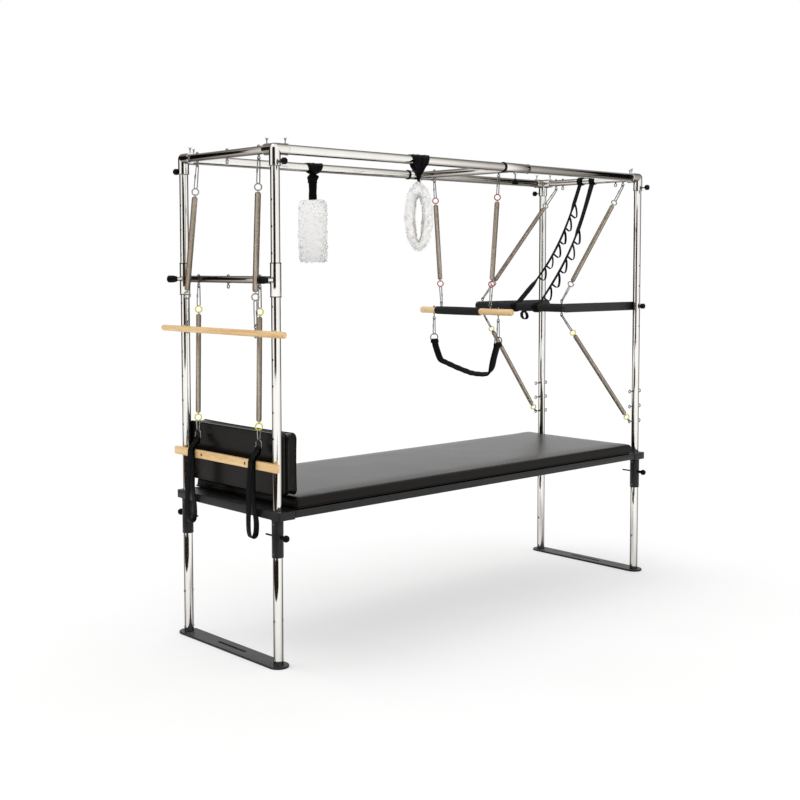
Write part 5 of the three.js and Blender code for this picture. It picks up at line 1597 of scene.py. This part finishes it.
def cuff_parts(x, y, drop, turn, seed):
    """A fleece cuff with its wool and the leather round its opening."""
    flat = cuff_loop(drop)
    normals = grid_normals(flat)
    centre = flat.mean(1, keepdims=True)
    normals = np.where(np.sum(normals * (flat - centre), -1, keepdims=True) < 0, -normals, normals)
    lumps = 2.2 * waves(flat, 62.0, seed, 2) + 1.0 * waves(flat, 15.0, seed + 1, 2)
    body = flat + (lumps - 2.0)[..., None] * normals
    locks = wool_locks(body, normals, 2400, 4.0, seed + 2)
    locks["points"] = spin(locks["points"], x, y, turn)
    parts = [skin("sheepskin", spin(body, x, y, turn), loop_rows=True), locks]
    inside = CUFF_SECTION // 2
    rims = [flat[:, inside + k] * 0.94 + centre[:, 0] * 0.06 for k in (-7, 7)]
    thick = 0.4 + 2.3 * ease((RAIL_HEIGHT - drop - 125.0 - rims[0][:, 2]) / 60.0)
    width = spin(Y_AXIS, 0.0, 0.0, turn)
    for rim in rims:
        parts.append(wire("glove_leather", spin(rim, x, y, turn), thick, width, closed=True))
    return parts


# Settings a user would change


def colour_setting(name, text, start):
    """A setting for a hex colour."""
    return bpy.props.StringProperty(name=name, description=text, default=start)


def length_setting(name, text, start, low, high):
    """A setting for a length in metres."""
    return bpy.props.FloatProperty(
        name=name, description=text, default=start, min=low, max=high, unit="LENGTH",
        subtype="DISTANCE")


def amount_setting(name, text, start, high):
    """A setting for a plain number from zero up."""
    return bpy.props.FloatProperty(name=name, description=text, default=start, min=0.0, max=high)


class TrapezeFrameSettings(bpy.types.PropertyGroup):
    """Finishes and shapes of the frame."""

    chrome_hex: colour_setting("Chrome", "Colour of the chrome where it faces the eye", "#fbfaf7")
    paint_hex: colour_setting("Paint", "Colour of the powder coating", "#161618")
    maple_hex: colour_setting("Maple", "Middle colour of the wood", "#ebc68c")
    spring_wire: length_setting("Spring wire", "Thickness of the spring wire", 0.0036, 0.002, 0.005)


class TrapezeSoftSettings(bpy.types.PropertyGroup):
    """Finishes and shapes of the upholstery, straps and cuffs."""

    vinyl_hex: colour_setting("Vinyl", "Colour of the upholstery", "#0f0f10")
    webbing_hex: colour_setting("Webbing", "Colour of the straps", "#0b0b0c")
    rib_pitch: length_setting(
        "Rib pitch", "Distance between the ribs of the webbing", 0.0022, 0.001, 0.01)
    mattress_crown: length_setting(
        "Mattress crown", "How far the mattress rises in its middle", 0.004, 0.0, 0.02)


class TrapezeStageSettings(bpy.types.PropertyGroup):
    """Floor and light."""

    floor_hex: colour_setting("Floor", "Colour of the floor", "#ffffff")
    sky_strength: amount_setting("Room light", "Strength of the light from all sides", 0.93, 2.0)
    sun_strength: amount_setting("Soft lamp", "Strength of the soft overhead lamp", 0.55, 5.0)
    floor_lift: amount_setting(
        "Floor lift", "Share of plain white in the floor that the camera sees", 0.42, 1.0)
    flag_height: length_setting(
        "Flag height", "Height of the dark flags that the chrome mirrors", 6.2, 1.0, 12.0)
    floor_size: length_setting("Floor size", "Side of the floor", 60.0, 5.0, 200.0)


# Operators, one for each piece or group of like pieces


class TRAPEZE_OT_canopy(bpy.types.Operator):
    """Builds the posts, rails, end frames, crossbar, slider and their knobs"""

    bl_idname = "trapeze.canopy"
    bl_label = "Canopy"

    def execute(self, context):
        for end, side in ENDS:
            for row, front in SIDES:
                name = f"{end}_{row}"
                piece(f"{name}_post_tube", post_parts(side, front), f"{name}_post")
                base = at(side * HALF_LENGTH, front * HALF_WIDTH, RAIL_HEIGHT - SCREW_REACH)
                parts = clamp_knob(base, front * Y_AXIS, 20.5, 49.0, 15.0, 22.0)
                piece(f"{name}_corner_hand_knob", parts, f"{name}_corner_knob")
        boss = [(0, 0), (0, 13.5), (5, 14.5), (11, 14.5), (12, 13.0), (12, 0)]
        for row, front in SIDES:
            y = front * HALF_WIDTH
            low, high = at(-1196.7, y, RAIL_HEIGHT), at(1196.7, y, RAIL_HEIGHT)
            rail = hollow(CHROME, low, high, RAIL_RADIUS, 18.5, sides=48)
            piece(f"{row}_rail_tube", [rail], f"{row}_long_rail")
            stem = at(-HALF_LENGTH, y, CROSSBAR_HEIGHT)
            parts = clamp_knob(stem, -X_AXIS, 20.3, 47.3, 17.0, 40.0, 4.0)
            parts.append(turned(NYLON, stem - 47.3 * X_AXIS, -X_AXIS, boss, 32))
            piece(f"{row}_plunger_knob", parts, f"{row}_plunger")
            parts = clamp_knob(at(SLIDER_X, y, RAIL_HEIGHT), -Z_AXIS, 21.5, 54.5, 17.0, 27.0)
            piece(f"{row}_slider_hand_knob", parts, f"{row}_slider_knob")
        for name, parts, stands_for in (
                ("left_end_frame", top_frame_parts(-1.0, (-230.0, 0.0, 230.0)), "left_top_frame"),
                ("right_end_frame", top_frame_parts(1.0, (-240.0, -190.0, 190.0, 240.0)),
                 "right_top_frame"),
                ("crossbar_tube", crossbar_parts(), "sliding_crossbar"),
                ("slider_tube", slider_parts(), "canopy_slider")):
            piece(name, parts, stands_for)
        return {"FINISHED"}


class TRAPEZE_OT_table(bpy.types.Operator):
    """Builds the end beams, side rails, legs, foot plates and the backrest's slat"""

    bl_idname = "trapeze.table"
    bl_label = "Table frame"

    def execute(self, context):
        for end, side in ENDS:
            piece(f"{end}_beam_and_sleeves", end_beam_parts(side), f"{end}_end_beam")
            piece(f"{end}_foot_bar", foot_plate_parts(side), f"{end}_foot_plate")
            for row, front in SIDES:
                name = f"{end}_{row}"
                piece(f"{name}_leg_tube", leg_parts(side, front), f"{name}_leg")
                pin = leg_pin_parts(side, front)
                piece(f"{name}_lock_pin", pin, f"{name}_leg_pin")
        for row, front in SIDES:
            piece(f"{row}_rail_bar", side_rail_parts(front), f"{row}_side_rail")
        piece("planed_slat", slat_parts(), "backrest_slat")
        coat("deck", "stained_plywood")
        return {"FINISHED"}


class TRAPEZE_OT_upholstery(bpy.types.Operator):
    """Builds the mattress and the backrest's cushion and covered board"""

    bl_idname = "trapeze.upholstery"
    bl_label = "Upholstery"

    def execute(self, context):
        crown = context.scene.trapeze_soft.mattress_crown / MM
        floor = TABLE_TOP + 0.3
        upholster("mattress_pad", "mattress", at(0.0, 0.0, floor + 25.0),
                  np.stack([X_AXIS, Y_AXIS, Z_AXIS]), MATTRESS, 16.0, 20.0, crown, 4.0, (-17.0,),
                  9.0, 6.0, (2, floor))
        upholster("backrest_pad", "backrest_cushion", at(BOARD_FACE + 38.5, 0.0, BACKREST_HEIGHT),
                  np.stack([Z_AXIS, Y_AXIS, X_AXIS]), BACKREST, 22.0, 26.0, 5.0, 4.0,
                  (-24.0, 20.0), 5.0, 8.0, (0, BOARD_FACE + SHIFT + 0.2))
        height, width, _ = BACKREST
        outline = rounded_outline(width, height, 24.0, 8)
        board = slab(VINYL, outline, at(BOARD_FACE - 15.0, 0.0, BACKREST_HEIGHT),
                     Y_AXIS, Z_AXIS, 14.8, 3.5)
        inner = rounded_outline(width - 16.0, height - 16.0, 18.0, 8)
        seam = at(BOARD_FACE - 15.2, inner[:, 0], BACKREST_HEIGHT + inner[:, 1])
        trim = wire(VINYL, seam, 0.9, X_AXIS, closed=True, sides=6)
        piece("covered_board", [board, trim], "backrest_board")
        return {"FINISHED"}


class TRAPEZE_OT_bars(bpy.types.Operator):
    """Builds the roll-down bar, trapeze bar and grip, push-through bar and its pivot pins"""

    bl_idname = "trapeze.bars"
    bl_label = "Bars"

    def execute(self, context):
        piece("roll_down_dowel", roll_down_parts(), "roll_down_bar")
        piece("trapeze_dowel", trapeze_parts(), "trapeze_bar")
        piece("foam_grip", grip_parts(), "trapeze_grip")
        piece("push_bar_frame", push_bar_parts(), "push_through_bar")
        for row, front in SIDES:
            pin = pivot_pin_parts(front)
            piece(f"{row}_pivot_hand_pin", pin, f"{row}_pivot_pin")
        return {"FINISHED"}


def stretched(name, skins, stands_for, slot, fixed, moving):
    """A piece that runs from the frame to the push-through bar, its placing baked into its mesh."""
    made = piece(name, skins, stands_for, "blend")
    start, end = (tuple(((p + at(SHIFT, 0, 0)) * MM).tolist()) for p in (fixed, moving))
    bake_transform(made)


class TRAPEZE_OT_springs(bpy.types.Operator):
    """Builds the ten close-wound springs with their rings, hooks and shackles"""

    bl_idname = "trapeze.springs"
    bl_label = "Springs"

    def execute(self, context):
        for row, front in SIDES:
            for name, build in (("roll_down", roll_down_spring_parts), ("leg", leg_spring_parts),
                                ("trapeze", trapeze_spring_parts)):
                piece(f"{row}_{name}_coil", build(front), f"{row}_{name}_spring")
            high, low = push_top_ends(front)
            parts = spring_line(high, low, 12.0, (112.0, 96.0), Y_AXIS, X_AXIS)
            stretched(f"{row}_push_top_coil", parts, f"{row}_push_top_spring", "steel_wire",
                      high, low)
            high, low = push_low_ends(front)
            parts = spring_line(high, low, 12.0, (104.0, 12.0), X_AXIS, Z_AXIS, rings="yellow_dip")
            stretched(f"{row}_push_low_coil", parts, f"{row}_push_low_spring", "steel_wire",
                      low, high)
        return {"FINISHED"}


class TRAPEZE_OT_straps(bpy.types.Operator):
    """Builds the foot straps, the trapeze sling and the looped safety strap"""

    bl_idname = "trapeze.straps"
    bl_label = "Straps"

    def execute(self, context):
        for row, front in SIDES:
            piece(f"{row}_foot_band", foot_strap_parts(front), f"{row}_foot_strap")
        piece("sling_band", sling_parts(), "trapeze_sling")
        stretched("looped_safety_band", safety_strap_parts(), "safety_strap", "strap",
                  at(HALF_LENGTH, 0.0, RAIL_HEIGHT), at(PUSH_X, 0.0, PUSH_HEIGHT))
        return {"FINISHED"}


class TRAPEZE_OT_cuffs(bpy.types.Operator):
    """Builds the two fleece cuffs and the webbing that ties them to the rails"""

    bl_idname = "trapeze.cuffs"
    bl_label = "Fleece cuffs"

    def execute(self, context):
        for row, wrap, *place in (
                ("rear", rear_wrap, -487.0, HALF_WIDTH, 152.0, 46.7, 11),
                ("front", front_wrap, -415.0, -HALF_WIDTH, 99.0, -43.3, 29)):
            cuff = f"{row}_fleece_cuff"
            made = piece(f"{row}_wool_cuff", cuff_parts(*place), cuff, angle=180.0)
            piece(f"{row}_cuff_webbing", wrap(*place), None, BODY_OF[cuff])
        return {"FINISHED"}


# Dark flags round the studio: foot x, y and height, width, azimuth they stand at, share of the
# full flag height. The last is a low board near the left legs
FLAGS = (
    (-7.2, -3.9, -0.5, 7.2, -150.0, 1.0),
    (-2.9, 7.0, -0.5, 8.4, 100.0, 1.0),
    (7.4, -1.2, -0.5, 3.6, -6.0, 1.0),
    (-2.18, -0.17, 0.0, 3.6, -170.0, 0.065),
)


def staged(name, corners, stuff):
    """A flat board of four corners with one material, for the floor or a flag."""
    mesh = bpy.data.meshes.new(name)
    mesh.from_pydata(corners, [], [(0, 1, 2, 3)])
    mesh.materials.append(finish(stuff))
    made = linked(name, mesh)
    return made


def studio_world(strength):
    """The light from all sides, with plain white behind the object wherever it is seen."""
    world = bpy.data.worlds.new("studio")
    world.use_nodes = True
    tree = world.node_tree
    tree.nodes.clear()
    path = node(tree, "LightPath")
    seen = node(tree, "Math", {"operation": "MAXIMUM"}, {
        0: path.outputs["Is Camera Ray"], 1: path.outputs["Is Glossy Ray"]})
    seen = node(tree, "Math", {"operation": "MAXIMUM"}, {
        0: seen, 1: path.outputs["Is Transmission Ray"]})
    room = node(tree, "Background", None, {"Color": linear("#ffffff"), "Strength": strength})
    white = node(tree, "Background", None, {"Color": linear("#ffffff"), "Strength": 1.0})
    mix = node(tree, "MixShader", None, {0: seen, 1: room, 2: white})
    node(tree, "OutputWorld", None, {"Surface": mix})
    return world


class TRAPEZE_OT_stage(bpy.types.Operator):
    """Sets the floor, the soft light and the camera"""

    bl_idname = "trapeze.stage"
    bl_label = "Stage"

    def execute(self, context):
        scene = context.scene
        look = scene.trapeze_stage
        reach = look.floor_size / 2
        corners = [(-reach, -reach, 0), (reach, -reach, 0), (reach, reach, 0), (-reach, reach, 0)]
        staged("studio_floor", corners, "studio_floor")
        for number, (x, y, low, wide, azimuth, share) in enumerate(FLAGS):
            turn = math.radians(azimuth)
            side = np.array([-math.sin(turn), math.cos(turn), 0.0]) * wide / 2
            foot = np.array([x, y, low])
            top = foot + look.flag_height * share * Z_AXIS
            corners = np.stack([foot - side, foot + side, top + side, top - side]).tolist()
            flag = staged(f"studio_flag_{number}", corners, "flag_cloth")
            flag.visible_camera = flag.visible_diffuse = flag.visible_shadow = False
            flag.visible_transmission = False
        scene.world = studio_world(look.sky_strength)
        lamp = bpy.data.lights.new("soft_lamp", "SUN")
        lamp.energy = look.sun_strength
        lamp.angle = math.radians(38.0)
        turn = Euler((math.radians(-24.0), math.radians(-20.0), 0.0))
        linked("soft_lamp", lamp).rotation_euler = turn
        camera = bpy.data.cameras.new("studio_camera")
        camera.sensor_width = 36.0
        camera.lens = 55.94
        camera.shift_x = -0.0257
        camera.shift_y = -0.0646
        scene.camera = linked("studio_camera", camera)
        scene.camera.location = (-4.3175 + SHIFT * MM, -4.4877, 1.6784)
        scene.camera.rotation_euler = Euler((math.radians(86.28), 0.0, math.radians(-43.35)))
        scene.view_settings.view_transform = "Standard"
        return {"FINISHED"}


class TRAPEZE_PT_panel(bpy.types.Panel):
    """Lists the pieces of the trapeze table"""

    bl_idname = "TRAPEZE_PT_panel"
    bl_label = "Trapeze table"
    bl_space_type = "VIEW_3D"
    bl_region_type = "UI"
    bl_category = "Trapeze table"

    def draw(self, context):
        layout = self.layout
        for key in SETTINGS:
            settings = getattr(context.scene, key)
            box = layout.box()
            for name in settings.__annotations__:
                box.prop(settings, name)
        for operator in OPERATORS:
            layout.operator(operator.bl_idname)


SETTINGS = {
    "trapeze_frame": TrapezeFrameSettings,
    "trapeze_soft": TrapezeSoftSettings,
    "trapeze_stage": TrapezeStageSettings,
}
OPERATORS = (
    TRAPEZE_OT_stage, TRAPEZE_OT_canopy, TRAPEZE_OT_table, TRAPEZE_OT_upholstery, TRAPEZE_OT_bars,
    TRAPEZE_OT_springs, TRAPEZE_OT_straps, TRAPEZE_OT_cuffs,
)


def register():
    for name, group in SETTINGS.items():
        bpy.utils.register_class(group)
        setattr(bpy.types.Scene, name, bpy.props.PointerProperty(type=group))
    for made in (*OPERATORS, TRAPEZE_PT_panel):
        bpy.utils.register_class(made)


def unregister():
    for made in (TRAPEZE_PT_panel, *reversed(OPERATORS)):
        bpy.utils.unregister_class(made)
    for name, group in reversed(SETTINGS.items()):
        delattr(bpy.types.Scene, name)
        bpy.utils.unregister_class(group)


def main():
    """Builds every piece in order."""
    register()
    bpy.ops.trapeze.stage()
    bpy.ops.trapeze.canopy()
    bpy.ops.trapeze.table()
    bpy.ops.trapeze.upholstery()
    bpy.ops.trapeze.bars()
    bpy.ops.trapeze.springs()
    bpy.ops.trapeze.straps()
    bpy.ops.trapeze.cuffs()
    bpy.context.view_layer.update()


if __name__ == "__main__":
    main()
